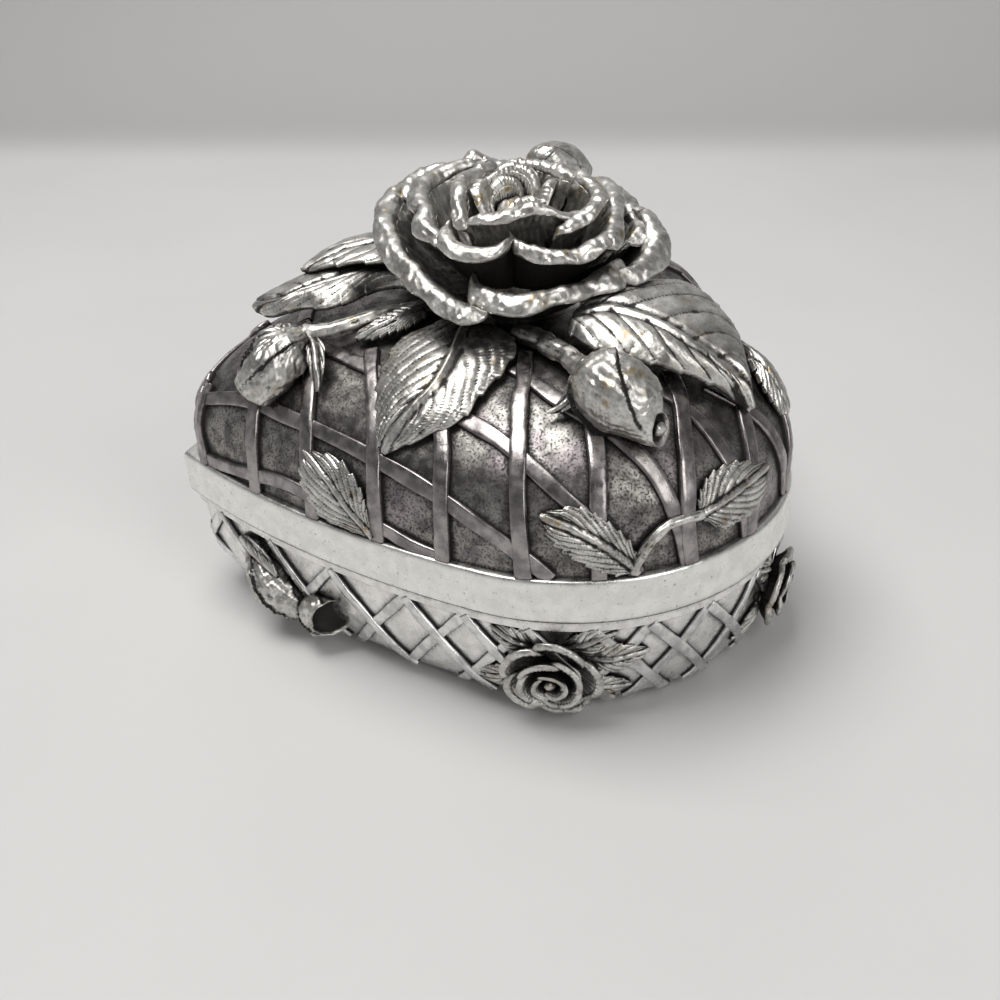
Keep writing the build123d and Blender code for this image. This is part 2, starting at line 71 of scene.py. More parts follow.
# Places on the walls of the heart
def outline(run, inset, tip):
    """Plan point and outward direction at a run along the near half of the outline, drawn in by an inset."""
    run, inset, tip = np.broadcast_arrays(*(np.asarray(v, float) for v in (run, inset, tip)))
    tip_y = FLANK_Y - np.sqrt((FLANK_RADIUS - inset - tip) ** 2 - FLANK_X**2)
    tip_start = np.arctan2(tip_y - FLANK_Y, FLANK_X)
    on_flank = FLANK_TURN + run / FLANK_RADIUS
    on_lobe = FLANK_TURN + run / LOBE_RADIUS
    on_tip = tip_start - (tip_start - on_flank) * FLANK_RADIUS / tip
    lobe = run >= 0
    flank = on_flank >= tip_start
    turn = np.where(lobe, on_lobe, np.where(flank, on_flank, on_tip))
    radius = np.where(lobe, LOBE_RADIUS - inset, np.where(flank, FLANK_RADIUS - inset, tip))
    centre_x = np.where(lobe, LOBE_OFFSET, np.where(flank, -FLANK_X, 0.0))
    centre_y = np.where(lobe, 0.0, np.where(flank, FLANK_Y, tip_y))
    return centre_x + radius * np.cos(turn), centre_y + radius * np.sin(turn), turn


def on_wall(run, inset, tip, height, slope, lift, side):
    x, y, turn = outline(run, inset, tip)
    level = np.cos(slope)
    out = np.stack([side * np.cos(turn) * level, np.sin(turn) * level, np.sin(slope) + 0 * turn], -1)
    return np.stack([side * x, y, height + 0 * x], -1) + out * np.asarray(lift)[..., None], out


def on_dome(run, rise, lift=0.0, side=1):
    """Points and outward directions over the dome, a rise up its curve and a lift off it."""
    rise = np.asarray(rise, float)
    turn = np.clip((rise - DOME_FOOT) / DOME_ARC, 0, math.pi / 2)
    drawn_in = DOME_REACH * (1 - np.cos(turn))
    height = BAND_TOP + np.minimum(rise, DOME_FOOT) + DOME_RISE * np.sin(turn)
    slope = np.arctan2(np.sin(turn) / DOME_RISE, np.cos(turn) / DOME_REACH)
    tip = DOME_TIP + DOME_TIP_GROWTH * np.sin(turn)
    return on_wall(run, DOME_INSET + drawn_in, tip, height, slope, lift + 0 * drawn_in, side)


def on_bowl(run, share, lift=0.0, side=1):
    """Points and outward directions over the bowl, a share of the way round its curve from the top."""
    turn = np.asarray(share, float) * math.pi / 2
    curving = 1 - np.cos(turn)
    height = BOWL_TOP - BOWL_DEPTH * np.sin(turn)
    slope = -np.arctan2(np.sin(turn) / BOWL_DEPTH, np.cos(turn) / BOWL_REACH)
    tip = BOWL_TIP + BOWL_TIP_GROWTH * curving
    return on_wall(run, BOWL_INSET + BOWL_REACH * curving, tip, height, slope, lift + 0 * curving, side)


def heart_loop(inset, tip, counts):
    """Plan points all the way round the heart, as many along each arc whatever the inset."""
    tip_y = FLANK_Y - math.sqrt((FLANK_RADIUS - inset - tip) ** 2 - FLANK_X**2)
    tip_start = math.atan2(tip_y - FLANK_Y, FLANK_X)
    cleft_turn = math.atan2(CLEFT_Y, -LOBE_OFFSET)
    arcs = [
        (0.0, tip_y, tip, -math.pi / 2, tip_start),
        (-FLANK_X, FLANK_Y, FLANK_RADIUS - inset, tip_start, FLANK_TURN),
        (LOBE_OFFSET, 0.0, LOBE_RADIUS - inset, FLANK_TURN, cleft_turn),
        (0.0, CLEFT_Y, CLEFT_RADIUS + inset, cleft_turn - math.pi, -math.pi / 2),
    ]
    points = []
    for (x, y, radius, start, end), count in zip(arcs, counts):
        turn = start + (end - start) * np.arange(count) / count
        points.append(np.stack([x + radius * np.cos(turn), y + radius * np.sin(turn)], -1))
    cleft = [(0.0, CLEFT_Y - CLEFT_RADIUS - inset)]
    near = np.concatenate(points + [np.array(cleft)])
    far = near[-2:0:-1] * np.array([-1, 1])
    return np.concatenate([near, far])


# Curves, noise and cross-sections
def smooth(values, share):
    """A smooth run through evenly spaced values, read at shares of its length."""
    values = np.asarray(values, float)
    last = len(values) - 1
    place = np.clip(np.asarray(share, float), 0, 1) * last
    step = np.minimum(place.astype(int), last - 1)
    u = place - step
    if values.ndim > 1:
        u = u[..., None]
    p0, p1 = values[np.maximum(step - 1, 0)], values[step]
    p2, p3 = values[step + 1], values[np.minimum(step + 2, last)]
    bend = u**2 * (p0 - 2.5 * p1 + 2 * p2 - p3 / 2) + u**3 * (1.5 * (p1 - p2) + (p3 - p0) / 2)
    return p1 + u * (p2 - p0) / 2 + bend


RIPPLE_WAVES = 12


def ripple(points, size, seed):
    """Smooth noise between about -1 and 1 with bumps of about this size in mm."""
    draw = np.random.default_rng(seed)
    heading = draw.normal(size=(RIPPLE_WAVES, 3))
    heading /= np.linalg.norm(heading, axis=1)[:, None]
    pitch = size * draw.uniform(0.7, 1.5, RIPPLE_WAVES)
    phase = draw.uniform(0, 2 * math.pi, RIPPLE_WAVES)
    swing = np.sin(2 * math.pi * points @ (heading / pitch[:, None]).T + phase)
    return swing.sum(-1) / math.sqrt(RIPPLE_WAVES)


def unit(vectors):
    return vectors / np.maximum(np.linalg.norm(vectors, axis=-1, keepdims=True), 1e-9)


# How far a path without a lift of its own runs into the wall
SUNK = -0.3


def wall_curve(surface, path, share, side):
    """Points and outward directions along a path of (run, rise, lift)."""
    path = np.asarray([tuple(p) + (SUNK,) * (3 - len(p)) for p in path], float)
    place = smooth(path, share)
    return surface(place[:, 0], place[:, 1], place[:, 2], side)


def path_frames(surface, path, share, side):
    """Points along a path, with the directions along it, across it and out of it."""
    points, out = wall_curve(surface, path, share, side)
    along = unit(np.gradient(points, axis=0))
    across = unit(np.cross(along, out))
    return points, along, across, np.cross(across, along)


# Building meshes
def rings_to_mesh(rings):
    """Vertices and faces of a closed skin through rings of points, its two ends capped."""
    count, size = rings.shape[:2]
    ends = np.stack([rings[0].mean(0), rings[-1].mean(0)])
    vertices = np.concatenate([rings.reshape(-1, 3), ends])
    faces = []
    for i in range(count - 1):
        for j in range(size):
            k = (j + 1) % size
            faces.append((i * size + j, i * size + k, (i + 1) * size + k, (i + 1) * size + j))
    last = (count - 1) * size
    for j in range(size):
        k = (j + 1) % size
        faces.append((j, count * size, k))
        faces.append((last + k, count * size + 1, last + j))
    return vertices, faces


def add_piece(name, body, nodes, material, shapes):
    """One shown piece from shapes of (rings, darkening, hammer): points, painted shade with grime, beaten
    look.
    """
    vertices, faces, hollows, hammers = [], [], [], []
    start = 0
    for rings, shade_and_grime, hammer in shapes:
        points, skin = rings_to_mesh(rings)
        vertices.append(points)
        faces += [tuple(start + index for index in face) for face in skin]
        hollows.append(np.append(shade_and_grime, [shade_and_grime[0].mean(), shade_and_grime[-1].mean()]))
        hammers.append(np.append(hammer + 0 * shade_and_grime, [0.0, 0.0]))
        start += len(points)
    # The dark mark that the materials read as painted shade and grime
    marks = {"shade_and_grime": np.concatenate(hollows), "hammer": np.concatenate(hammers)}
    return finish_piece(name, body, nodes, material, np.concatenate(vertices), faces, marks)


def finish_piece(name, body, nodes, material, vertices, faces, marks):
    mesh = bpy.data.meshes.new(name)
    mesh.from_pydata((vertices * MM).tolist(), [], faces)
    for mark, values in marks.items():
        attribute = mesh.attributes.new(mark, "FLOAT", "POINT")
        attribute.data.foreach_set("value", np.clip(values, 0, 1).astype(np.float32))
    work = bmesh.new()
    work.from_mesh(mesh)
    bmesh.ops.recalc_face_normals(work, faces=work.faces)
    work.to_mesh(mesh)
    work.free()
    mesh.polygons.foreach_set("use_smooth", [True] * len(mesh.polygons))
    mesh.materials.append(material)
    piece = bpy.data.objects.new(name, mesh)
    bpy.context.scene.collection.objects.link(piece)
    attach(piece, body)
    if nodes:
        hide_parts(*nodes)
    return piece


# Leaves
LEAF_ROWS = 170
LEAF_ROUGH = 0.05
LEAF_HAMMER = 0.15
# How dark a leaf's underside is painted, standing for the shade beneath it
UNDERSIDE_SHADE = 0.75


def leaf_shape(curves, seed, thickness=1.5, veins=6, forward=0.45, bend=1.3, teeth=9, tooth=0.7, cut=0.4,
               rib=(0.75, 0.55), bulge=0.5, fine=0.05, size=(LEAF_ROWS, 61)):
    """A cast leaf from its left edge, midrib and right edge, each (points, outward directions)."""
    (left, left_out), (mid, mid_out), (right, right_out) = curves
    rows, columns = size
    t = np.linspace(0, 1, rows)[:, None]
    u = np.linspace(-1, 1, columns)[None, :]
    share = np.abs(u)
    edge = np.where(u[..., None] > 0, left[:, None], right[:, None])
    edge_out = np.where(u[..., None] > 0, left_out[:, None], right_out[:, None])
    reach = edge - mid[:, None]
    wide = np.linalg.norm(reach, axis=-1)
    out = unit(mid_out[:, None] * (1 - share)[..., None] + edge_out * share[..., None])
    swing = 0.35 * np.sign(u) + 0.02 * seed
    notch = ((t * teeth + swing) % 1) ** 1.4 - 0.6
    taper = np.clip(wide / 3, 0, 1)
    outward = tooth * notch * share**4 * taper
    base = mid[:, None] + reach * share[..., None] + unit(reach) * outward[..., None]
    dist = share * wide
    phase = (t - forward * share**bend) * veins + 0.35 * (u > 0) + 0.13 * seed
    gap = np.abs(phase - np.round(phase))
    vein = np.exp(-((gap / 0.06) ** 2)) * np.clip(dist / 1.2, 0, 1) * np.clip((1.02 - share) * 6, 0, 1)
    pillow = 0.5 - 0.5 * np.cos(2 * math.pi * phase)
    ribs = np.cos(2 * math.pi * phase * 4 + 2 * ripple(base, 5.0, seed + 3)) * share
    ridge = np.exp(-((dist / rib[0]) ** 2)) * np.clip(1.15 - t, 0, 1)
    gutter = np.exp(-(((dist - 2.1 * rib[0]) / (0.8 * rib[0])) ** 2))
    grain = ripple(base, 3.2, seed + 1) + 0.6 * ripple(base, 1.4, seed + 2)
    height = bulge * 4 * share * (1 - share) * taper
    height = height + 0.35 * cut * (pillow - 0.5) * np.clip(dist / 2, 0, 1)
    height = height - cut * vein - 0.35 * gutter + rib[1] * ridge + fine * ribs
    height = height + LEAF_ROUGH * grain * (0.4 + share)
    thin = thickness * np.sqrt(np.clip(1 - 0.55 * share**6, 0, 1)) * np.clip(0.35 + taper, 0, 1)
    upper = base + out * height[..., None]
    lower = base + out * (0.3 * height * (1 - share) - thin)[..., None]
    lower = lower - unit(reach) * (0.25 * share**4)[..., None]
    lower = lower[:, -1:0:-1]
    rings = np.concatenate([upper, lower], axis=1)
    dark = 0.75 * vein + 0.6 * gutter * (1 - ridge) - 0.2 * np.minimum(grain, 0) + 0.1 * (ribs < -0.6)
    # Painted shade on the underside; the upper side has darker veins, grooves and grain
    shade_and_grime = np.concatenate([dark, np.full(lower.shape[:2], UNDERSIDE_SHADE)], axis=1)
    return rings, shade_and_grime, LEAF_HAMMER


def patch_curves(surface, left, mid, right, side, rows=LEAF_ROWS):
    """The three curves of a leaf from its left edge, midrib and right edge on a wall."""
    share = np.linspace(0, 1, rows)
    return [wall_curve(surface, path, share, side) for path in (left, mid, right)]


def spread_curves(surface, path, half_width, arch, side, rows=LEAF_ROWS):
    """The three curves of a leaf that widens evenly about its path and drops by its arch at the edges."""
    share = np.linspace(0, 1, rows)
    points, _, across, out = path_frames(surface, path, share, side)
    place = np.clip(np.where(share < 0.42, share / 0.42, (1 - share) / 0.58), 0, 1)
    wide = np.maximum(half_width * np.sin(place * math.pi / 2) ** 0.8, 0.35)
    drop = arch * wide / half_width
    edges = []
    for way in (1, -1):
        tilted = unit(out + across * way * 0.35)
        edges.append((points + across * (way * wide)[:, None] - out * drop[:, None], tilted))
    return [edges[0], (points, out), edges[1]]


# Stems and buds
STEM_SIZE = (60, 28)
BALL_SIZE = (22, 30)


def rings_round(surface, path, radii, side, size):
    """What a skin round a path is made of: shares, turns, centres, ways out, ways ahead and radii."""
    share = np.linspace(0, 1, size[0])
    points, _, across, out = path_frames(surface, path, share, side)
    turn = np.linspace(0, 2 * math.pi, size[1], endpoint=False)
    around = across[:, None] * np.cos(turn)[None, :, None] + out[:, None] * np.sin(turn)[None, :, None]
    radius = np.repeat(smooth(radii, share)[:, None], size[1], axis=1)
    return share, turn, points, around, np.cross(out, across), radius


def tube_shape(surface, path, radii, side, seed, knot=0.0):
    """A stem, swollen by its knot close to its end."""
    share, turn, points, around, _, radius = rings_round(surface, path, radii, side, STEM_SIZE)
    skin = points[:, None] + around * radius[..., None]
    grain = ripple(skin, 2.4, seed)
    stripe = np.sin(turn * 7)[None, :] * 0.06
    radius = radius * (1 + knot * np.exp(-(((share - 0.96) / 0.06) ** 2)))[:, None] + 0.08 * grain + stripe
    rings = points[:, None] + around * radius[..., None]
    return rings, 0.35 * (grain < -0.4) + 0.3 * (stripe < -0.04), 0.2


def bud_shape(surface, path, radii, side, seed, wraps=3, twist=0.55, step=0.75, size=(130, 120), hole=0.45,
              rough=0.04, tilt=0.0):
    """A closed rosebud: petals wrapped round it, each edge standing over the next, and a hole at its tip."""
    share, turn, points, around, ahead, radius = rings_round(surface, path, radii, side, size)
    wrap = (turn[None, :] / (2 * math.pi) * wraps + twist * wraps * share[:, None] + 0.17 * seed) % 1
    body = np.sin(share * math.pi)[:, None] ** 0.5
    overlap = step * (wrap**1.6 - 0.45) * body
    crease = np.exp(-((np.minimum(wrap, 1 - wrap) / 0.035) ** 2)) * body
    skin = points[:, None] + around * radius[..., None]
    grain = ripple(skin, 3.0, seed) + 0.5 * ripple(skin, 1.3, seed + 1)
    streak = np.sin(turn[None, :] * 21 + 3 * ripple(skin, 6.0, seed + 2)) * 0.07 * body
    radius = radius + overlap + rough * grain + streak
    rings = points[:, None] + around * radius[..., None]
    lean = tilt * np.clip(share * 4 - 3, 0, 1)[:, None] * radius * np.sin(turn)[None, :]
    rings = rings - ahead[:, None] * lean[..., None]
    # Painted shade in the creases under each petal edge; grime in the low grain and streaks
    shade_and_grime = 0.95 * crease - 0.2 * np.minimum(grain, 0) + 0.2 * (streak < -0.05)
    mouth = []
    for inward, depth in ((0.86, -0.15), (0.68, 0.25), (0.55, 1.0), (0.42, 1.9), (0.2, 2.3)):
        factor = hole + (1 - hole) * inward if depth < 0.5 else hole * inward / 0.55
        ring = points[-1] + (rings[-1] - points[-1]) * factor
        mouth.append(ring - ahead[-1] * depth)
    rings = np.concatenate([rings, np.stack(mouth)])
    # Painted shade down the hole at the tip
    shade_and_grime = np.concatenate([shade_and_grime, np.repeat(np.array([0.1, 0.2, 0.9, 1, 1])[:, None], size[1], axis=1)])
    return rings, shade_and_grime, 0.12


def ball_shape(centre, radii, seed, rough=0.06):
    polar = np.linspace(0.02, math.pi - 0.02, BALL_SIZE[0])
    turn = np.linspace(0, 2 * math.pi, BALL_SIZE[1], endpoint=False)
    level = np.sin(polar)[:, None]
    round_ = np.stack([level * np.cos(turn), level * np.sin(turn), np.cos(polar)[:, None] + 0 * turn], -1)
    rings = centre + round_ * np.asarray(radii)
    rings = rings + round_ * (rough * ripple(rings, 1.6, seed))[..., None]
    return rings, np.zeros(rings.shape[:2]), 0.2


# Rose petals
CUP = [(0.0, 0.0), (0.3, 0.06), (0.55, 0.22), (0.76, 0.5), (0.9, 0.8), (1.0, 1.0)]


LIP_COLUMNS = 22
LIP_TURN = 125


def petal_profile(rim, place, end, root, seed, roll, lip, flare, ruffle, columns):
    """Distance from the axis and height of a petal, out from its root, over its rim and down its lip."""
    radius = (rim[:, 1] + ruffle * ripple(place, 13.0, seed) * end)[:, None]
    height = (rim[:, 2] + 0.8 * ruffle * ripple(place, 11.0, seed + 1) * end)[:, None]
    curl = (roll * (0.8 + 0.22 * ripple(place, 10.0, seed + 2)) * (0.35 + 0.65 * end))[:, None]
    apron = (lip * (0.85 + 0.2 * ripple(place, 8.0, seed + 6)) * (0.3 + 0.7 * end))[:, None]
    apron = apron * np.linspace(-1, 1, LIP_COLUMNS)[None, :].clip(0)
    body = np.linspace(0, 1, columns - LIP_COLUMNS)
    cup = smooth(CUP, body)
    up = cup[:, 1] * (1 + (flare - 1) * body * (1 - body))
    bend = np.radians(np.minimum(np.linspace(0, 2 * LIP_TURN, LIP_COLUMNS + 1)[1:], LIP_TURN))
    out = root[0] + (radius - root[0]) * cup[None, :, 0]
    rise = root[1] + (height - curl - root[1]) * up[None, :]
    lip_out = radius + curl * (1 - np.cos(bend))[None, :] + 0.80 * apron
    lip_up = height - curl + curl * np.sin(bend)[None, :] - 0.60 * apron
    return np.concatenate([out, lip_out], axis=1), np.concatenate([rise, lip_up], axis=1)


def petal_shape(seat, rims, root, seed, thickness, roll, lip, ruffle, dent, flare=1.0, shade=0.8,
                size=(120, 64)):
    """A cupped petal round the axis of seat, from its root to a rolled rim of (azimuth, radius, height)."""
    origin, axes = seat
    rows, columns = size
    t = np.linspace(0, 1, rows)
    rim = smooth(np.asarray(rims, float), t)
    azimuth = np.radians(rim[:, 0])
    place = np.stack([rim[:, 1] * np.cos(azimuth), rim[:, 1] * np.sin(azimuth), rim[:, 2]], -1)
    end = np.clip(np.minimum(t, 1 - t) * 9, 0, 1)
    out, rise = petal_profile(rim, place, end, root, seed, roll, lip, flare, ruffle, columns)
    way_out, way_up = np.gradient(out, axis=1), np.gradient(rise, axis=1)
    length = np.maximum(np.hypot(way_out, way_up), 1e-6)
    along = np.linspace(0, 1, columns)[None, :]
    thick = thickness * (0.75 + 0.35 * along**2) * np.sqrt(np.clip(1 - along**14, 0.02, 1))
    thick = thick * (0.45 + 0.55 * np.sqrt(end))[:, None]
    spread = azimuth[:, None] + 0 * out
    middle = np.stack([out * np.cos(spread), out * np.sin(spread), rise], -1)
    near_rim = np.clip(along * 2.6 - 1.5, 0, 1)
    grain = ripple(middle, 3.4, seed + 3) + 0.7 * ripple(middle, 1.7, seed + 4)
    facet = dent * grain * (0.35 + near_rim)
    streak = 0.07 * np.sin(spread * 46 + 2.5 * ripple(middle, 8.0, seed + 5)) * (1 - near_rim) * (along > 0.2)

    def face(sign, relief):
        shift = sign * thick / 2 + relief
        far = out - way_up / length * shift
        high = rise + way_out / length * shift
        return np.stack([far * np.cos(spread), far * np.sin(spread), high], -1)

    inner = face(1, facet + streak)
    outer = face(-1, -0.6 * facet + streak)
    local = np.concatenate([inner, outer[:, ::-1]], axis=1)
    rings = origin + local @ axes
    # Painted shade deep towards the root and on the outer face below the rim; grime in the low grain and
    # streaks
    deep = np.clip(0.7 - along * 2.0, 0, 1) - 0.2 * np.minimum(grain, 0) + 0.1 * (streak < -0.045)
    shade_and_grime = np.concatenate([deep, (deep + shade * (1 - near_rim))[:, ::-1]], axis=1)
    hammer = 0.1 + 0.9 * near_rim * np.ones_like(out)
    return rings, shade_and_grime, np.concatenate([hammer, hammer[:, ::-1]], axis=1)


def even_rims(turn, span, rim, tuck, drop, draw=0.12):
    """Rim of a petal that falls away evenly to both sides of its middle."""
    rims = []
    for u in np.linspace(-1, 1, 9):
        fall = abs(u) ** 2.5
        height = rim[1] - drop * rim[1] * fall
        rims.append((turn + u * span / 2, rim[0] * (1 - draw * fall) + tuck * u, height))
    return rims


def rose_seat():
    """Origin and axes of the large rose, leaning towards +X."""
    axis = np.array([math.sin(ROSE_LEAN), 0, math.cos(ROSE_LEAN)])
    x_axis = np.array([math.cos(ROSE_LEAN), 0, -math.sin(ROSE_LEAN)])
    return ROSE_ORIGIN, np.stack([x_axis, np.cross(axis, x_axis), axis])


def wall_seat(surface, run, share, lift, side):
    """Origin and axes of a flower that faces out of the wall."""
    point, out = surface(np.array([run]), np.array([share]), np.array([lift]), side)
    out = out[0]
    x_axis = unit(np.cross(np.array([0.0, 0.0, 1.0]), out))
    return point[0], np.stack([x_axis, np.cross(out, x_axis), out])


# Materials
class Shader:
    """Short calls for building a material's nodes."""

    def __init__(self, name):
        self.material = bpy.data.materials.new(name)
        self.material.use_nodes = True
        self.tree = self.material.node_tree
        self.surface = self.tree.nodes["Principled BSDF"]
        self.place = self.add("ShaderNodeTexCoord").outputs["Object"]

    def add(self, kind, settings=None, **inputs):
        made = self.tree.nodes.new(kind)
        for key, value in (settings or {}).items():
            setattr(made, key, value)
        for key, value in inputs.items():
            self.put(made.inputs[key.replace("_", " ")], value)
        return made

    def put(self, socket, value):
        if isinstance(value, bpy.types.NodeSocket):
            self.tree.links.new(value, socket)
        else:
            socket.default_value = value

    def set(self, name, value):
        """Sets one socket of the surface."""
        self.put(self.surface.inputs[name], value)

    def noise(self, size_mm, detail=3.0, rough=0.5):
        made = self.add("ShaderNodeTexNoise", Vector=self.place, Scale=1 / (size_mm * MM), Detail=detail,
                        Roughness=rough)
        return made.outputs["Fac"]

    def cells(self, size_mm):
        made = self.add("ShaderNodeTexVoronoi", {"feature": "SMOOTH_F1"}, Vector=self.place,
                        Scale=1 / (size_mm * MM), Smoothness=0.6)
        return made.outputs["Distance"]

    def ramp(self, value, low, high, out_low=0.0, out_high=1.0):
        made = self.add("ShaderNodeMapRange", {"interpolation_type": "SMOOTHSTEP"}, Value=value, From_Min=low,
                        From_Max=high, To_Min=out_low, To_Max=out_high)
        return made.outputs["Result"]

    def calculate(self, operation, first, second):
        made = self.tree.nodes.new("ShaderNodeMath")
        made.operation = operation
        self.put(made.inputs[0], first)
        self.put(made.inputs[1], second)
        return made.outputs["Value"]

    def mix(self, share, first, second):
        made = self.tree.nodes.new("ShaderNodeMix")
        made.data_type = "RGBA"
        self.put(made.inputs["Factor"], share)
        self.put(made.inputs[6], first)
        self.put(made.inputs[7], second)
        return made.outputs[2]

    def bump(self, height, distance_mm, strength=1.0, normal=None):
        made = self.add("ShaderNodeBump", Strength=strength, Distance=distance_mm * MM, Height=height)
        if normal is not None:
            self.put(made.inputs["Normal"], normal)
        return made.outputs["Normal"]


# Dark colour mixed in for painted shade and for grime
DIRT_AND_SHADE_COLOUR = (0.016, 0.014, 0.012, 1)
MAUVE = (0.42, 0.34, 0.40, 1)
TARNISH = (0.42, 0.30, 0.13, 1)


def metal(name, bright, worn, rough, reach_mm, antique=0.3, pits=0.3, grain=0.0, tarnish=0.0, low=0.35,
          high=0.85, mauve=0.0, dents=(1.7, 0.3)):
    """Antiqued silver: bright on what stands up; dark and dull with painted shade in recesses and with grime.
    """
    s = Shader(name)
    shade = s.add("ShaderNodeAmbientOcclusion", {"samples": 4}, Distance=reach_mm * MM).outputs["AO"]
    shade_and_grime = s.add("ShaderNodeAttribute", {"attribute_name": "shade_and_grime"}).outputs["Fac"]
    hammer = s.add("ShaderNodeAttribute", {"attribute_name": "hammer"}).outputs["Fac"]
    cloud = s.noise(7.0, 4.0, 0.6)
    speck = s.noise(0.8, 4.0, 0.7)
    # Painted shade from the ambient-occlusion node and the dark mark, then grime from noise
    dirt_and_shade = s.calculate("MAXIMUM", s.ramp(shade, high, low), s.ramp(shade_and_grime, 0.15, 0.9))
    dirt_and_shade = s.calculate("ADD", dirt_and_shade, s.ramp(cloud, 0.5, 0.75, 0.0, antique))
    dirt_and_shade = s.calculate("ADD", dirt_and_shade, s.ramp(speck, 0.55, 0.8, 0.0, 0.5 * antique + pits))
    if grain:
        dirt_and_shade = s.calculate("ADD", dirt_and_shade, s.ramp(s.noise(0.45, 2.0), 0.38, 0.72, 0.0, grain))
    dirt_and_shade = s.ramp(dirt_and_shade, 0.05, 1.0)
    light = s.mix(s.ramp(s.noise(3.0, 3.0), 0.35, 0.65), bright, worn)
    if mauve:
        light = s.mix(s.ramp(s.noise(16.0, 2.0), 0.52, 0.7, 0.0, mauve), light, MAUVE)
    if tarnish:
        spots = s.calculate("MULTIPLY", s.ramp(s.noise(5.5, 2.0), 0.6, 0.7),
                            s.ramp(s.noise(1.2, 3.0), 0.4, 0.62))
        light = s.mix(s.calculate("MULTIPLY", spots, tarnish), light, TARNISH)
    colour = s.mix(dirt_and_shade, light, DIRT_AND_SHADE_COLOUR)
    s.set("Base Color", colour)
    s.set("Metallic", s.ramp(dirt_and_shade, 0.3, 1.0, 1.0, 0.35))
    gloss = s.ramp(s.noise(2.2, 3.0), 0.3, 0.7, rough - 0.06, rough + 0.1)
    s.set("Roughness", s.ramp(dirt_and_shade, 0.2, 1.0, gloss, 0.62))
    normal = s.bump(s.cells(dents[0]), dents[1], hammer)
    normal = s.bump(s.noise(0.5, 3.0, 0.6), 0.05, 0.5, normal)
    normal = s.bump(s.noise(6.0, 2.0), 0.35, 0.6, normal)
    s.set("Normal", normal)
    return s.material


def cloth(name, deep, pale, grain_mm):
    s = Shader(name)
    weave = s.noise(grain_mm, 4.0, 0.7)
    patch = s.noise(9.0, 3.0)
    s.set("Base Color", s.mix(s.calculate("MULTIPLY", weave, patch), deep, pale))
    s.set("Roughness", s.ramp(weave, 0.3, 0.7, 0.85, 1.0))
    s.set("Sheen Weight", 0.5)
    s.set("Sheen Roughness", 0.4)
    s.set("Normal", s.bump(weave, 0.15, 0.8))
    return s.material


ORNAMENT = metal("ornament_silver", (0.74, 0.73, 0.70, 1), (0.50, 0.49, 0.46, 1), 0.35, 2.2, grain=0.35,
                 tarnish=0.7, dents=(1.5, 0.25))
PETAL = metal("petal_silver", (0.77, 0.76, 0.73, 1), (0.50, 0.49, 0.46, 1), 0.36, 2.2, grain=0.35,
              tarnish=0.9, low=0.12, high=0.5, dents=(1.5, 0.2))
# Painted shade on the lid: its panels and strips are the same silver as the base's, coloured darker
PANEL_PAINTED_SHADE = metal("antiqued_panel", (0.33, 0.32, 0.30, 1), (0.125, 0.12, 0.114, 1), 0.34, 1.3, pits=0.35,
              grain=0.75, low=0.55, high=0.95, mauve=0.3)
# Painted reflection on the base: its bowl and strips are coloured brighter, for the pale floor they reflect
BOWL_PAINTED_REFLECTION = metal("antiqued_bowl_painted_reflection", (0.90, 0.89, 0.87, 1), (0.74, 0.73, 0.71, 1), 0.28, 1.3, grain=0.2, low=0.5,
             high=0.93)
LID_STRIP_PAINTED_SHADE = metal("lid_strip_painted_shade", (0.40, 0.375, 0.37, 1), (0.22, 0.205, 0.205, 1), 0.28, 1.2, grain=0.15,
                  low=0.3, high=0.75)
BASE_STRIP_PAINTED_REFLECTION = metal("base_strip_painted_reflection", (0.84, 0.835, 0.82, 1), (0.54, 0.535, 0.53, 1), 0.26, 1.2, low=0.3,
                   high=0.75)
BAND = metal("smooth_band", (0.90, 0.895, 0.865, 1), (0.81, 0.805, 0.775, 1), 0.3, 1.4, antique=0.06,
             pits=0.7, grain=0.12, low=0.3, high=0.75)
VELVET = cloth("lining_velvet", (0.05, 0.004, 0.006, 1), (0.28, 0.02, 0.03, 1), 0.35)
FELT = cloth("pad_felt", (0.008, 0.008, 0.009, 1), (0.04, 0.04, 0.042, 1), 0.5)

# The cast shells and the cup under the rose keep their CAD shapes
for node, material in (("lid_shell", PANEL_PAINTED_SHADE), ("base_shell", BOWL_PAINTED_REFLECTION), ("rose_calyx", ORNAMENT)):
    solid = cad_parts[node]
    solid.data.materials.clear()
    solid.data.materials.append(material)


# The band round the lid, its face dented between its two rounded edges, with painted shade along the seam
# below
BAND_COUNTS = (40, 260, 420, 30)
BAND_FACE_MIDDLE = 29.3
BAND_FACE_REACH = 4.0
SEAM_TOP = 25.45


def band_shape():
    """Loops of points round the band's cross-section, one for each place on the outline."""
    profile = [
        (3.9, BAND_TOP), (2.4, BAND_TOP), (1.1, BAND_TOP), (0.6, 33.92), (0.28, 33.7), (0.08, 33.3),
        (0.0, 32.6), (0.05, 31.5), (0.12, 30.2), (0.15, 29.2), (0.12, 28.0), (0.05, 26.8), (0.0, 26.0),
        (0.1, 25.3), (0.35, 24.85), (0.8, 24.65), (2.2, BAND_BOTTOM), (3.9, BAND_BOTTOM),
    ]
    loops = []
    for inset, height in profile:
        plan = heart_loop(inset, 0.8 + inset * 0.2, BAND_COUNTS)
        loops.append(np.concatenate([plan, np.full((len(plan), 1), height)], axis=1))
    loops = np.stack(loops, axis=1)
    flat = np.abs(loops[..., 2] - BAND_FACE_MIDDLE) < BAND_FACE_REACH
    dent = 0.05 * np.clip(ripple(loops, 9.0, 41), 0, 2) + 0.03 * np.clip(ripple(loops, 2.6, 42), 0, 2)
    inward = -unit(loops * np.array([1, 1, 0]))
    return loops + inward * (dent * flat)[..., None]


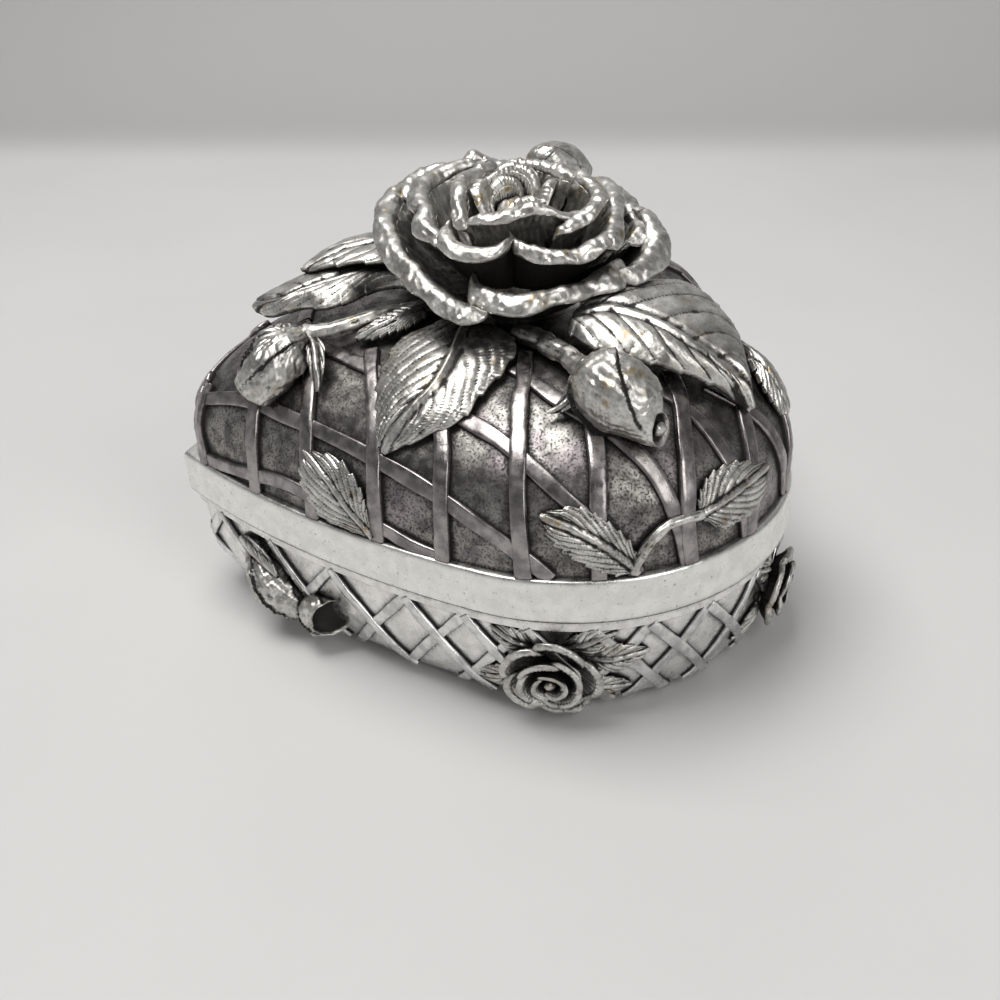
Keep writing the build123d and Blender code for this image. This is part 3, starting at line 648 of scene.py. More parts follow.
def add_band():
    loops = band_shape()
    count, size = loops.shape[:2]
    faces = []
    for i in range(count):
        for j in range(size):
            k, m = (i + 1) % count, (j + 1) % size
            faces.append((i * size + j, k * size + j, k * size + m, i * size + m))
    # Painted shade along the seam at the foot of the band, and a few random grime spots
    seam = 0.9 * np.clip((SEAM_TOP - loops[..., 2]) / 0.5, 0, 1)
    spots = 0.15 * (ripple(loops, 3.0, 43) < -0.9)
    marks = {"shade_and_grime": (seam + spots).reshape(-1), "hammer": np.zeros(count * size)}
    points = loops.reshape(-1, 3)
    finish_piece("lid_band_face", "lid", ["lid_band"], BAND, points, faces, marks)


add_band()


# The crossed strips, the upright ones of the lid lying over the slanting ones
UPRIGHT_PATHS = [
    [(-73, 0), (-73.4, 6), (-73.8, 12.6), (-74.4, 18.5)],
    [(-55, 0), (-54.3, 9.6), (-56, 19.5), (-60, 29)],
    [(-38, 0), (-38.6, 13.2), (-44, 26.7), (-54, 37)],
    [(-22, 0), (-22, 13.2), (-26.6, 26.8), (-38, 39.5)],
    [(-7.3, 0), (-7.2, 13.2), (-11, 27), (-23, 41.5)],
    [(9, 0), (8, 15.7), (5, 30.4), (-4, 47)],
    [(22.8, 0), (22.8, 14.5), (23.6, 29.4), (22.5, 44.8)],
    [(40.6, 0), (39.8, 12), (44.7, 26.8), (56, 38.5)],
    [(56, 0), (57, 13), (63.5, 24.5), (78, 34)],
    [(74, 0), (77, 12.6), (84, 24), (96, 34)],
    [(96, 0), (97, 13), (100, 25), (106, 38)],
]
SLANTING_PATHS = [
    [(-79, 0), (-62, 2.4), (-44, 5), (-29, 2)],
    [(-31, 7), (-19.5, 2.6), (-9, 0)],
    [(-78, 13.3), (-62, 20.4), (-44, 21), (-25, 19), (-7.3, 14), (7, 5.6), (14, 0)],
    [(-62, 37), (-46, 36.7), (-28.6, 35), (-9, 31), (7, 25.4), (20, 14.5), (30, 0)],
    [(-4.5, 43), (9.8, 38.8), (25, 32.2), (34, 23), (37.6, 10.2), (40, 0)],
    [(38, 43.5), (46, 38), (50.5, 29.8), (52.3, 17.7), (55, 0)],
    [(62, 33), (67.5, 21.4), (69.5, 10.6), (73, 0)],
    [(80, 34), (86, 22), (89, 11), (92, 0)],
    [(94, 36), (101, 23), (105, 9.7), (109, 0)],
]
BASE_STRIP_TOPS = [-71, -54, -36, -17.3, -4, 9, 22, 33, 46, 61, 77, 93, 109]
BASE_STRIP_SLANT = 17
BASE_STRIP_FOOT = 0.72


def strip_shape(surface, path, width, height, side, seed, rows=90):
    """A flat strip with rounded edges lying on a wall, its sides dark with painted shade and grime, most at
    the foot.
    """
    share = np.linspace(0, 1, rows)
    path = [(run, rise, 0.0) for run, rise in path]
    points, _, across, out = path_frames(surface, path, share, side)
    section = [(-1.12, -0.6, 1.0), (-1.04, 0.15, 1.0), (-1.0, 0.6, 0.4), (-0.93, 0.88, 0.0),
               (-0.8, 0.99, 0.0), (-0.4, 1.02, 0.0), (0.0, 1.03, 0.0)]
    section += [(-place, level, dark) for place, level, dark in section[-2::-1]]
    section = np.array(section)
    place = section[None, :, 0] * (width / 2 + 0.1 * ripple(points, 9.0, seed))[:, None]
    level = section[None, :, 1] * (height + 0.07 * ripple(points, 7.0, seed + 1))[:, None]
    rings = points[:, None] + across[:, None] * place[..., None] + out[:, None] * level[..., None]
    rings = rings + out[:, None] * (0.03 * ripple(rings, 1.8, seed + 2))[..., None]
    return rings, np.repeat(section[None, :, 2], rows, axis=0), 0.0


lid_strips, base_strips = [], []
for side in (1, -1):
    for number, path in enumerate(UPRIGHT_PATHS):
        lid_strips.append(strip_shape(on_dome, path, 3.1, 1.25, side, 200 + number))
    for number, path in enumerate(SLANTING_PATHS):
        lid_strips.append(strip_shape(on_dome, path, 3.0, 0.85, side, 230 + number))
    middle = math.sin(BASE_STRIP_FOOT * math.pi / 4) / math.sin(BASE_STRIP_FOOT * math.pi / 2)
    for number, top in enumerate(BASE_STRIP_TOPS):
        for lean, height in ((-BASE_STRIP_SLANT, 0.75), (BASE_STRIP_SLANT, 1.05)):
            path = [(top, 0.005), (top + lean * middle, BASE_STRIP_FOOT / 2), (top + lean, BASE_STRIP_FOOT)]
            base_strips.append(strip_shape(on_bowl, path, 2.2, height, side, 260 + number, 50))
add_piece("lid_lattice_strips", "lid", ["lid_lattice"], LID_STRIP_PAINTED_SHADE, lid_strips)
add_piece("base_lattice_strips", "base", ["base_lattice"], BASE_STRIP_PAINTED_REFLECTION, base_strips)

# Leaves on the lid, those seen given by their edges and midrib as (run, rise, lift)
SEEN_LEAVES = {
    "leaf_front": (
        [(-27, 50, 2.2), (-32.5, 43.2, 2), (-32, 38, 1.6), (-30, 33, 1.4), (-27, 28.2, 1.2), (-24.5, 23, 1),
         (-21.5, 20.2, 1.2)],
        [(-21.5, 50.5, 3), (-17, 42.5, 4.2), (-15.5, 38, 4.2), (-15.5, 33.5, 3.8), (-17.5, 30, 3.2),
         (-19.5, 25.5, 2.4), (-21, 20.1, 1.5)],
        [(-16, 51.2, 2.6), (-6.5, 47.5, 2.2), (-4.5, 41.5, 2), (-6, 36, 1.8), (-7.5, 30, 1.6),
         (-13.5, 25.2, 1.4), (-20.5, 20, 1.4)],
        {"veins": 9, "forward": 0.55, "teeth": 8, "rib": (0.65, 0.9), "cut": 0.22, "bulge": 0.8},
    ),
    "leaf_right": (
        [(14.5, 49.4, 4.6), (27, 44.8, 5), (37.5, 41.2, 5), (46, 38.2, 5), (53.5, 34.5, 4.5),
         (59.5, 30, 3.5), (62.5, 24.2, 2.5)],
        [(22, 51.5, 6.5), (48, 49.5, 8), (58, 44, 8), (59.5, 38, 7.5), (61.5, 33.2, 6.5), (63, 29, 5),
         (63, 24.3, 3)],
        [(50, 53, 8), (84, 51, 9), (97, 45, 9.5), (95, 40.5, 9.5), (86, 37.2, 8.8), (77, 33.2, 7.4),
         (68, 28.6, 5), (64.5, 24, 2.8)],
        {"veins": 7, "forward": 0.35, "teeth": 7, "rib": (0.7, 0.6), "cut": 0.22, "bulge": 1.3},
    ),
    "leaf_left": (
        [(-40, 50.5, 4.6), (-46, 46.5, 5.5), (-47.5, 43, 6), (-50.5, 40, 6.5), (-57, 37.5, 6.5),
         (-62, 34.2, 6.5), (-70, 32, 6.5)],
        [(-38, 51.5, 6), (-48, 48, 8), (-51.5, 45, 8.5), (-55, 42.2, 8.5), (-58, 39.4, 8.5), (-62, 36, 8),
         (-71, 31.8, 6.8)],
        [(-40, 52.6, 5), (-54, 50, 7), (-60, 47.5, 8), (-64, 45, 8), (-67.5, 42, 7.6), (-71, 38, 7),
         (-71.5, 32.2, 6.6)],
        {"veins": 8, "forward": 0.45, "teeth": 6, "tooth": 0.4, "rib": (0.6, 0.4), "cut": 0.12, "bulge": 1.3,
         "fine": 0.03},
    ),
    "leaf_small_left": (
        [(-31.5, 48.6, 2.5), (-33, 45.2, 2.5), (-35.5, 43, 2.5), (-38.5, 41, 2), (-41.5, 39.8, 2)],
        [(-32.5, 49.5, 3.5), (-34.5, 46.8, 4), (-36.5, 44.2, 4), (-39, 42, 3.5), (-42, 39.5, 2.5)],
        [(-37, 50.2, 2.5), (-40, 48.2, 2.5), (-42.5, 46.2, 2.5), (-43.5, 43.5, 2.5), (-43, 40.2, 2)],
        {"veins": 9, "forward": 0.6, "teeth": 8, "rib": (0.4, 0.4), "thickness": 1.2},
    ),
    "leaf_far_right": (
        [(88, 29.6, 2), (79.5, 26.8, 2), (76, 24, 1.8), (75.5, 20.8, 1.4), (76.5, 17, 1)],
        [(87.5, 30.5, 2.6), (83, 26.4, 3.4), (80.5, 23.4, 3.2), (79.5, 19.8, 2.6), (79.5, 15.4, 1.5)],
        [(93, 28, 2), (92, 22.5, 2), (89, 18.8, 1.8), (85.5, 16, 1.4), (81, 15, 1)],
        {"veins": 6, "forward": 0.5, "teeth": 6, "tooth": 0.6, "rib": (0.5, 0.4), "cut": 0.35},
    ),
}
for seed, (name, (left, mid, right, look)) in enumerate(SEEN_LEAVES.items()):
    curves = patch_curves(on_dome, left, mid, right, 1)
    add_piece(f"{name}_blade", "lid", [name], ORNAMENT, [leaf_shape(curves, 10 + seed, **look)])

# Leaves at the back, each widening evenly about its path
BACK_LEAVES = {
    "leaf_left_under": ([(-28, 52), (-38, 50, 10), (-47, 45, 12), (-56, 39, 10)], 10.0, 1.6),
    "leaf_back": ([(0, 51), (12, 43, 3), (20, 34, 3), (26, 23, 1)], 11.0, 2.0),
    "leaf_back_right": ([(50, 49), (56, 41, 2.4), (60, 33, 2.4), (62, 24, 1)], 9.0, 1.6),
}
for seed, (name, (path, half_width, arch)) in enumerate(BACK_LEAVES.items()):
    curves = spread_curves(on_dome, path, half_width, arch, -1)
    shape = leaf_shape(curves, 30 + seed, veins=6, teeth=6, tooth=0.8, cut=0.22)
    add_piece(f"{name}_blade", "lid", [name], ORNAMENT, [shape])

# Sprigs low on the lid: a single leaf near the tip and a pair on one stem round the lobe
SPRIG_TIP = (
    [(-23.5, 0.3, 1), (-29, 0.6, 1.3), (-35.5, 1.5, 1.4), (-39.6, 7.5, 1.4), (-39.6, 15, 1.2)],
    [(-22.5, 0.5, 1.2), (-24.3, 3, 1.8), (-28, 6.2, 1.9), (-32, 10.8, 1.9), (-39.5, 15.6, 1.4)],
    [(-22.5, 1.2, 1), (-23, 6.2, 1.3), (-24.5, 11.5, 1.4), (-30.5, 16.5, 1.4), (-39.5, 15.9, 1.2)],
)
SPRIG_LOW = (
    [(29.5, 0.4, 1), (24.5, 1.2, 1.3), (18.5, 4.6, 1.4), (14.8, 8, 1.4), (12.4, 13.4, 1.2)],
    [(30, 0.9, 1.2), (26, 5.2, 1.8), (22, 9, 1.9), (17.5, 12, 1.9), (12.2, 14.2, 1.4)],
    [(30.5, 1.8, 1), (28.4, 7.5, 1.3), (24.4, 13, 1.4), (19, 16.4, 1.4), (12.4, 14.8, 1.2)],
)
SPRIG_HIGH = (
    [(42, 9.2, 1), (46.6, 5.3, 1.3), (51.5, 4.8, 1.4), (57.4, 5.6, 1.4), (61.2, 11.8, 1.2)],
    [(41.5, 10, 1.2), (44.8, 11, 1.8), (48.8, 11.8, 1.9), (54, 12.6, 1.9), (61.4, 12.8, 1.4)],
    [(41.5, 10.8, 1), (42.6, 15.2, 1.3), (47, 18.2, 1.4), (53.8, 17.6, 1.4), (61, 13.6, 1.2)],
)
TWIG = [(29, 0.8, 0.7), (30.5, 4.6, 1), (34.5, 9.4, 1.1), (38.5, 10.4, 1.1), (42.5, 10.2, 1)]
sprig_look = {"veins": 8, "forward": 0.5, "bend": 1.0, "rib": (0.45, 0.45), "cut": 0.38, "fine": 0.08,
              "bulge": 0.35, "size": (130, 49)}
for side, place in ((1, "near"), (-1, "far")):
    blade = leaf_shape(patch_curves(on_dome, *SPRIG_TIP, side, 130), 40, **sprig_look)
    add_piece(f"sprig_{place}_tip_blade", "lid", [f"sprig_{place}_tip"], ORNAMENT, [blade])
    pair = [
        leaf_shape(patch_curves(on_dome, *SPRIG_LOW, side, 130), 41, **sprig_look),
        leaf_shape(patch_curves(on_dome, *SPRIG_HIGH, side, 130), 42, **sprig_look),
        tube_shape(on_dome, TWIG, [1.1, 1.0, 0.9, 1.0], side, 43),
    ]
    add_piece(f"sprig_{place}_lobe_pair", "lid", [f"sprig_{place}_lobe"], ORNAMENT, pair)


# Buds on the lid, each on its stem and held by sepals
def add_bud(name, side, stem, stem_radii, body, radii, sepals, seed, ball=1.3, **look):
    shapes = [tube_shape(on_dome, stem, stem_radii, side, seed, knot=0.25)]
    shapes.append(bud_shape(on_dome, body, radii, side, seed, **look))
    for number, (path, half_width) in enumerate(sepals):
        curves = spread_curves(on_dome, path, half_width, 0.5, side, 90)
        shapes.append(leaf_shape(curves, seed + number, thickness=0.9, veins=4, teeth=3, tooth=0.25, cut=0.25,
                                 rib=(0.4, 0.35), bulge=0.3, size=(90, 35)))
    tip, tip_out = wall_curve(on_dome, body, np.array([0.965, 1.0]), side)
    shapes.append(ball_shape(tip[0], (ball, ball, ball), seed))
    add_piece(f"{name}_bloom", "lid", [name], ORNAMENT, shapes)


add_bud(
    "bud_front_right", 1,
    [(-9, 51, 1.6), (3, 47.6, 2.8), (15, 45, 3.2), (21, 41.6, 3.8), (24.5, 39.4, 4.6)],
    [2.0, 2.0, 1.9, 2.1, 2.6],
    [(23, 39.4, 4.8), (25.6, 37, 5.4), (28.5, 34.4, 5.9), (31.4, 31.7, 6.2), (34, 29.2, 6.0),
     (36.4, 26.9, 5.4)],
    [2.4, 6.2, 7.2, 6.6, 4.7, 2.7],
    [([(24, 39.6, 5.2), (20.5, 37.4, 5.2), (16.5, 35, 3.2), (11.5, 33.6, 1.8)], 1.9),
     ([(23.6, 39.6, 7.4), (27, 36.6, 12), (31, 33.6, 12.4)], 2.4)],
    51, twist=0.42, step=1.0, hole=0.74, tilt=0.9, rough=0.1,
)
add_bud(
    "bud_front_left", 1,
    [(-33, 52, 0.8), (-40.5, 44.5, 3.2), (-46, 39, 4), (-51, 35.4, 4.6)], [1.7, 1.6, 1.6, 1.8],
    [(-51, 35.4, 4.4), (-52.4, 33, 4.6), (-53, 30.4, 4.6), (-53.4, 27.8, 4.4), (-54.4, 25.2, 3.8),
     (-55.6, 23, 3.2)],
    [2.4, 4.6, 5.3, 5.3, 4.9, 4.3],
    [([(-49.5, 34.5, 5.5), (-52, 32.5, 8.8), (-54.5, 30.5, 9.6), (-57, 28.5, 8.6)], 3.2),
     ([(-50.5, 36, 5), (-46.6, 34, 5), (-43.6, 31, 3.8), (-41.5, 27.6, 1.8)], 2.0)],
    52, twist=0.14, wraps=5, step=1.0, hole=0.8, ball=1.6, rough=0.12,
)
add_bud(
    "bud_back", -1,
    [(28, 51.5, 0.8), (36, 49.5, 7.5), (44, 46.5, 12)], [1.7, 1.6, 1.8],
    [(43, 46.5, 12), (47, 45.2, 13), (51, 43.6, 13.5), (56, 41, 13.5), (62, 38, 12)],
    [2.2, 5.2, 5.9, 5.2, 2.4],
    [([(43, 47, 13), (50, 46, 18), (56, 42, 18)], 2.5), ([(43, 45, 12), (48, 40, 13), (53, 37, 12)], 2.2)],
    53, twist=0.4,
)

# The large rose
OUTER_PETALS = [
    [(220, 27.5, 17.8), (236, 26.2, 17.8), (252, 24.4, 17.4), (272, 22.6, 16.8), (292, 22.2, 16.0),
     (310, 22.8, 15.2), (325, 24.0, 14.2), (337, 24.2, 13.0)],
    [(318, 15.0, 14.6), (331, 18.6, 14.8), (346, 21.0, 15.4), (2, 21.8, 15.6), (18, 21.2, 15.6),
     (34, 20.6, 15.8), (52, 21.4, 15.6)],
    [(40, 21.6, 14.8), (50, 24.4, 14.8), (62, 25.4, 15.6), (74, 25.2, 17.6), (86, 24.6, 18.8),
     (94, 23.4, 17.4)],
    [(66, 21.2, 16.6), (80, 22.4, 17.4), (96, 22.2, 17.8), (112, 22.4, 18.4), (126, 21.4, 16.6)],
    [(112, 20.0, 15.6), (130, 22.0, 14.6), (148, 22.6, 14.2), (166, 23.8, 14.6), (180, 24.6, 16.0),
     (190, 24.6, 17.4), (198, 23.6, 16.4)],
    [(186, 22.6, 17.6), (196, 23.0, 18.0), (207, 24.6, 19.4), (218, 25.4, 18.6), (232, 24.6, 17.4)],
]
MIDDLE_PETALS = [
    [(286, 13.4, 21.8), (300, 15.6, 21.6), (316, 16.8, 21.2), (332, 15.8, 21.2), (348, 11.4, 21.8)],
    [(343, 10.2, 21.8), (358, 14.6, 21.2), (14, 17.8, 21.0), (30, 19.0, 21.4), (46, 19.6, 22.0)],
    [(36, 19.8, 21.6), (54, 18.8, 22.4), (76, 17.8, 22.8), (96, 17.8, 22.8), (116, 17.6, 21.8)],
    [(100, 17.0, 22.0), (124, 17.2, 20.4), (148, 17.6, 19.2), (168, 18.2, 19.2), (182, 19.0, 20.8),
     (193, 19.8, 23.6), (202, 19.6, 22.0)],
    [(186, 19.4, 22.4), (212, 19.2, 22.4), (240, 18.2, 22.2), (268, 17.0, 22.0), (290, 16.6, 21.4),
     (306, 16.8, 20.6)],
]
INNER_PETALS = [
    [(200, 11.6, 24.8), (224, 10.2, 25.6), (252, 9.8, 25.4), (282, 10.4, 24.6), (306, 12.2, 22.0)],
    [(294, 11.4, 21.4), (316, 10.4, 24.2), (338, 9.6, 25.0), (0, 9.2, 26.4), (18, 10.4, 26.6),
     (34, 12.4, 25.0), (48, 14.0, 24.4)],
    [(20, 14.6, 23.0), (42, 14.8, 24.8), (66, 14.2, 25.4), (90, 13.8, 25.4), (112, 13.8, 24.6)],
    [(104, 12.2, 24.4), (132, 11.2, 24.6), (160, 10.8, 25.0), (188, 11.0, 24.8), (212, 11.0, 24.6)],
]
WHORLS = [
    ("outer", OUTER_PETALS, (7.5, 5.0),
     {"roll": 1.6, "lip": 3.2, "thickness": 1.8, "ruffle": 0.5, "dent": 0.13}),
    ("middle", MIDDLE_PETALS, (6.0, 8.5),
     {"roll": 1.5, "lip": 2.3, "thickness": 1.7, "ruffle": 0.5, "dent": 0.12, "flare": 1.2}),
    ("inner", INNER_PETALS, (4.5, 11.5),
     {"roll": 1.2, "lip": 1.5, "thickness": 1.7, "ruffle": 0.7, "dent": 0.16, "flare": 1.4, "shade": 0.2}),
]
for whorl, petals, root, look in WHORLS:
    for number, rims in enumerate(petals, 1):
        turns = np.unwrap(np.radians([rim[0] for rim in rims]))
        rims = [(math.degrees(turn), rim[1], rim[2]) for turn, rim in zip(turns, rims)]
        seed = 60 + 10 * number + len(whorl)
        shape = petal_shape(rose_seat(), rims, root, seed, **look)
        add_piece(f"rose_{whorl}_{number}", "lid", [f"rose_{whorl}_petal_{number}"], PETAL, [shape])

# The folds at the heart of the rose: azimuth, width round the axis, radius and height of each rim
HEART_FOLDS = [(338, 120, 6.4, 23.6), (262, 110, 6.8, 25.4), (170, 120, 7.2, 25.8), (75, 110, 6.6, 26.2),
               (20, 90, 3.4, 25.4), (200, 130, 3.2, 24.6)]
heart_look = {"thickness": 1.5, "roll": 0.8, "lip": 0.9, "ruffle": 0.9, "dent": 0.2, "flare": 1.6,
              "shade": 0.2, "size": (90, 48)}
heart = []
for number, (turn, span, radius, height) in enumerate(HEART_FOLDS):
    rims = even_rims(turn, span, (radius, height), 1.2, 0.2)
    heart.append(petal_shape(rose_seat(), rims, (2.0, 12.0), 130 + number, **heart_look))
heart_origin, heart_axes = rose_seat()
heart.append(ball_shape(heart_origin + heart_axes[2] * 17, (4.4, 4.4, 6.0), 137, rough=0.3))
add_piece("rose_heart_folds", "lid", ["rose_heart"], PETAL, heart)

# Small roses, leaves and buds of the base
BASE_ROSES = [("side", 13.5, 0.33, 9.2), ("lobe", 72.6, 0.3, 8.0)]
BASE_LEAVES = [
    ([(-6, 0.03, 0), (-9, 0.07, 1.2), (-13, 0.12, 1.2), (-17, 0.17, 0.6)], 3.2),
    ([(7, -0.11, 0), (11, -0.12, 1.3), (15, -0.13, 1.3), (19.5, -0.13, 0.6)], 3.6),
    ([(6, 0.09, 0), (9, 0.12, 1.2), (13, 0.15, 1.2), (16.5, 0.18, 0.6)], 3.0),
    ([(-3, -0.17, 0), (-6, -0.22, 1.2), (-9, -0.26, 1.2), (-12, -0.3, 0.6)], 3.0),
    ([(2, -0.18, 0), (6, -0.23, 1.2), (9, -0.27, 1.2), (13, -0.3, 0.6)], 3.0),
]


# Whorls of a base rose: azimuths, width, rim and root (share of the radius, height), fall of the rim, seed
BASE_WHORLS = [
    (range(0, 360, 72), 84, (0.94, 3.6), (0.2, 0.4), (0.5, 0.25, 0.18), 0,
     {"thickness": 1.0, "roll": 0.5, "lip": 0.8, "ruffle": 0.2, "dent": 0.08, "size": (60, 48)}),
    (range(30, 390, 90), 112, (0.6, 5.0), (0.15, 1.4), (0.4, 0.2, 0.12), 7,
     {"thickness": 0.9, "roll": 0.45, "lip": 0.4, "ruffle": 0.2, "dent": 0.06, "flare": 1.4,
      "size": (60, 48)}),
    ((60, 200, 320), 150, (0.3, 5.4), (0.08, 1.6), (0.3, 0.12, 0.1), 12,
     {"thickness": 0.8, "roll": 0.35, "lip": 0.1, "ruffle": 0.1, "dent": 0.05, "flare": 1.6,
      "size": (60, 44)}),
]
BASE_ROSE_LIFT = -0.75


def base_rose(seat, radius, seed):
    shapes = []
    for turns, span, rim, root, fall, first, look in BASE_WHORLS:
        for number, turn in enumerate(turns):
            rims = even_rims(turn, span, (radius * rim[0], rim[1]), *fall)
            shapes.append(petal_shape(seat, rims, (radius * root[0], root[1]), seed + first + number, **look))
    origin, axes = seat
    shapes.append(ball_shape(origin + axes[2] * 4.2, (1.2, 1.2, 1.2), seed + 20))
    return shapes


base_leaf_look = {"thickness": 1.1, "veins": 5, "teeth": 5, "tooth": 0.4, "cut": 0.3, "rib": (0.35, 0.35),
                  "bulge": 0.25, "size": (80, 35)}
for side, place in ((1, "near"), (-1, "far")):
    for number, (spot, run, share, radius) in enumerate(BASE_ROSES):
        seat = wall_seat(on_bowl, run, share, BASE_ROSE_LIFT, side)
        add_piece(f"base_rose_{place}_{spot}_bloom", "base", [f"base_rose_{place}_{spot}"], ORNAMENT,
                  base_rose(seat, radius, 140 + 30 * number))
        blades = []
        for leaf_number, (path, half_width) in enumerate(BASE_LEAVES):
            points = [(run + along, share + down, lift) for along, down, lift in path]
            curves = spread_curves(on_bowl, points, half_width, 0.5, side, 80)
            blades.append(leaf_shape(curves, 170 + leaf_number, **base_leaf_look))
        name = f"base_leaves_{place}_{spot}"
        add_piece(f"{name}_blades", "base", [name], ORNAMENT, blades)
    bud_path = [(-60, 0.17, 1.5), (-56, 0.27, 2.2), (-51, 0.4, 2.2), (-46, 0.5, 1.5)]
    cup_path = [(-48, 0.5, 0.4), (-44.5, 0.46, 1.0), (-41, 0.43, 1.5), (-37.5, 0.4, 1.8)]
    sepal_path = [(-51, 0.2, 2.5), (-56, 0.12, 3.0), (-61, 0.1, 2.2), (-65, 0.12, 1)]
    tip = wall_curve(on_bowl, bud_path, np.array([0.03, 0.06]), side)[0][0]
    shapes = [
        bud_shape(on_bowl, bud_path, [1.6, 4.0, 3.9, 1.8], side, 181, twist=0.3, step=0.8, size=(90, 80),
                  rough=0.2),
        bud_shape(on_bowl, cup_path, [1.4, 3.6, 4.4, 4.0], side, 182, twist=0.2, step=0.6, size=(70, 70),
                  hole=0.82, tilt=0.55, rough=0.12),
        leaf_shape(spread_curves(on_bowl, sepal_path, 2.6, 0.8, side, 80), 183, thickness=1.1, veins=4,
                   teeth=3, tooth=0.3, cut=0.3, size=(80, 35)),
        ball_shape(tip, (1.9, 1.9, 1.9), 184),
    ]
    add_piece(f"base_bud_{place}_bloom", "base", [f"base_bud_{place}"], ORNAMENT, shapes)


# Cloth linings and the pad under the base
CLOTH_COUNTS = (10, 60, 90, 10)
GLUE_GAP = 0.05
CLOTH_FACE = 0.9


def cloth_shell(profile, puff=0.0, seed=0):
    """Loops of points down a wall, given as (inset, height, tip radius)."""
    loops = []
    for inset, height, tip in profile:
        plan = heart_loop(inset, tip, CLOTH_COUNTS)
        loops.append(np.concatenate([plan, np.full((len(plan), 1), height)], axis=1))
    loops = np.stack(loops)
    return loops + puff * ripple(loops, 6.0, seed)[..., None] * np.array([0, 0, 1])


def dome_profile(wall):
    rise, reach = DOME_RISE - wall, DOME_REACH - wall
    places = [(DOME_INSET + wall, BAND_TOP + up, DOME_TIP) for up in (0.2, DOME_FOOT)]
    for turn in np.linspace(0, math.pi / 2, 20)[1:]:
        inset = DOME_INSET + wall + reach * (1 - math.cos(turn))
        height = BAND_TOP + DOME_FOOT + rise * math.sin(turn)
        places.append((inset, height, DOME_TIP + DOME_TIP_GROWTH * math.sin(turn)))
    return places


def bowl_profile(wall):
    places = []
    for turn in np.linspace(0, math.pi / 2, 16):
        curving = 1 - math.cos(turn)
        inset = BOWL_INSET + wall + BOWL_REACH * curving
        height = BOWL_TOP - (BOWL_DEPTH - wall) * math.sin(turn)
        places.append((inset, height, BOWL_TIP + BOWL_TIP_GROWTH * curving))
    return places


def add_cloth(name, body, node, material, loops):
    """A thin closed cloth through loops of points, clean all over."""
    return add_piece(name, body, [node], material, [(loops, np.zeros(loops.shape[:2]), 0.0)])


def add_lining(name, body, node, profile, seed):
    """A lining glued to the wall: its outer face, a rolled hem and its visible face, closed at the middle."""
    outer = cloth_shell(profile(WALL + GLUE_GAP))
    inner = cloth_shell(profile(WALL + CLOTH_FACE), puff=0.04, seed=seed)
    return add_cloth(name, body, node, VELVET, np.concatenate([outer[::-1], inner]))


lid_cloth = add_lining("lid_lining_cloth", "lid", "lid_lining", dome_profile, 301)
base_cloth = add_lining("base_lining_cloth", "base", "base_lining", bowl_profile, 302)
pad_inset, pad_tip = BOWL_INSET + BOWL_REACH + 4.0, BOWL_TIP + BOWL_TIP_GROWTH
pad_section = ((0.25, 1.0), (0, 0.8), (0, 0.2), (0.2, 0.0), (8, 0.0), (18, 0.0))
pad_loops = cloth_shell([(pad_inset + inward, height, pad_tip) for inward, height in pad_section])
pad = add_cloth("base_pad_felt", "base", "base_pad", FELT, pad_loops)


# Camera at the photo's angle: degrees, mm, and the focal length as a share of the picture's side
CAMERA_AZIMUTH, CAMERA_ELEVATION, CAMERA_ROLL = 81.53, 31.33, -2.91
CAMERA_TARGET = (9.91, -13.60, 17.90)
CAMERA_DISTANCE = 276.7
CAMERA_FOCAL = 1255.9 / 1000
SENSOR_WIDTH = 36


def add_camera():
    azimuth, elevation, roll = (math.radians(v) for v in (CAMERA_AZIMUTH, CAMERA_ELEVATION, CAMERA_ROLL))
    target = Vector(CAMERA_TARGET)
    level = math.cos(elevation)
    back = Vector((math.sin(azimuth) * level, -math.cos(azimuth) * level, math.sin(elevation)))
    position = (target + back * CAMERA_DISTANCE) * MM
    right = (-back).cross(Vector((0, 0, 1))).normalized()
    up = right.cross(-back)
    across = math.cos(roll) * right + math.sin(roll) * up
    upright = math.cos(roll) * up - math.sin(roll) * right
    data = bpy.data.cameras.new("photo_camera")
    data.sensor_width = SENSOR_WIDTH
    data.lens = CAMERA_FOCAL * SENSOR_WIDTH
    data.clip_start = 0.005
    camera = bpy.data.objects.new("photo_camera", data)
    columns = (across, upright, back, position)
    rows = [[column[i] for column in columns] for i in range(3)]
    camera.matrix_world = Matrix(rows + [[0, 0, 0, 1]])
    bpy.context.scene.collection.objects.link(camera)
    bpy.context.scene.camera = camera


# Floor, backdrop and light, in metres
BACKDROP_X = -0.33
BACKDROP_BEND = 0.12
BACKDROP_TURN = math.radians(-18)
STAGE_HALF_WIDTH = 1.6
LAMP_TINT = (1, 0.985, 0.96)
LAMP_AIM = (0, 0, 0.05)


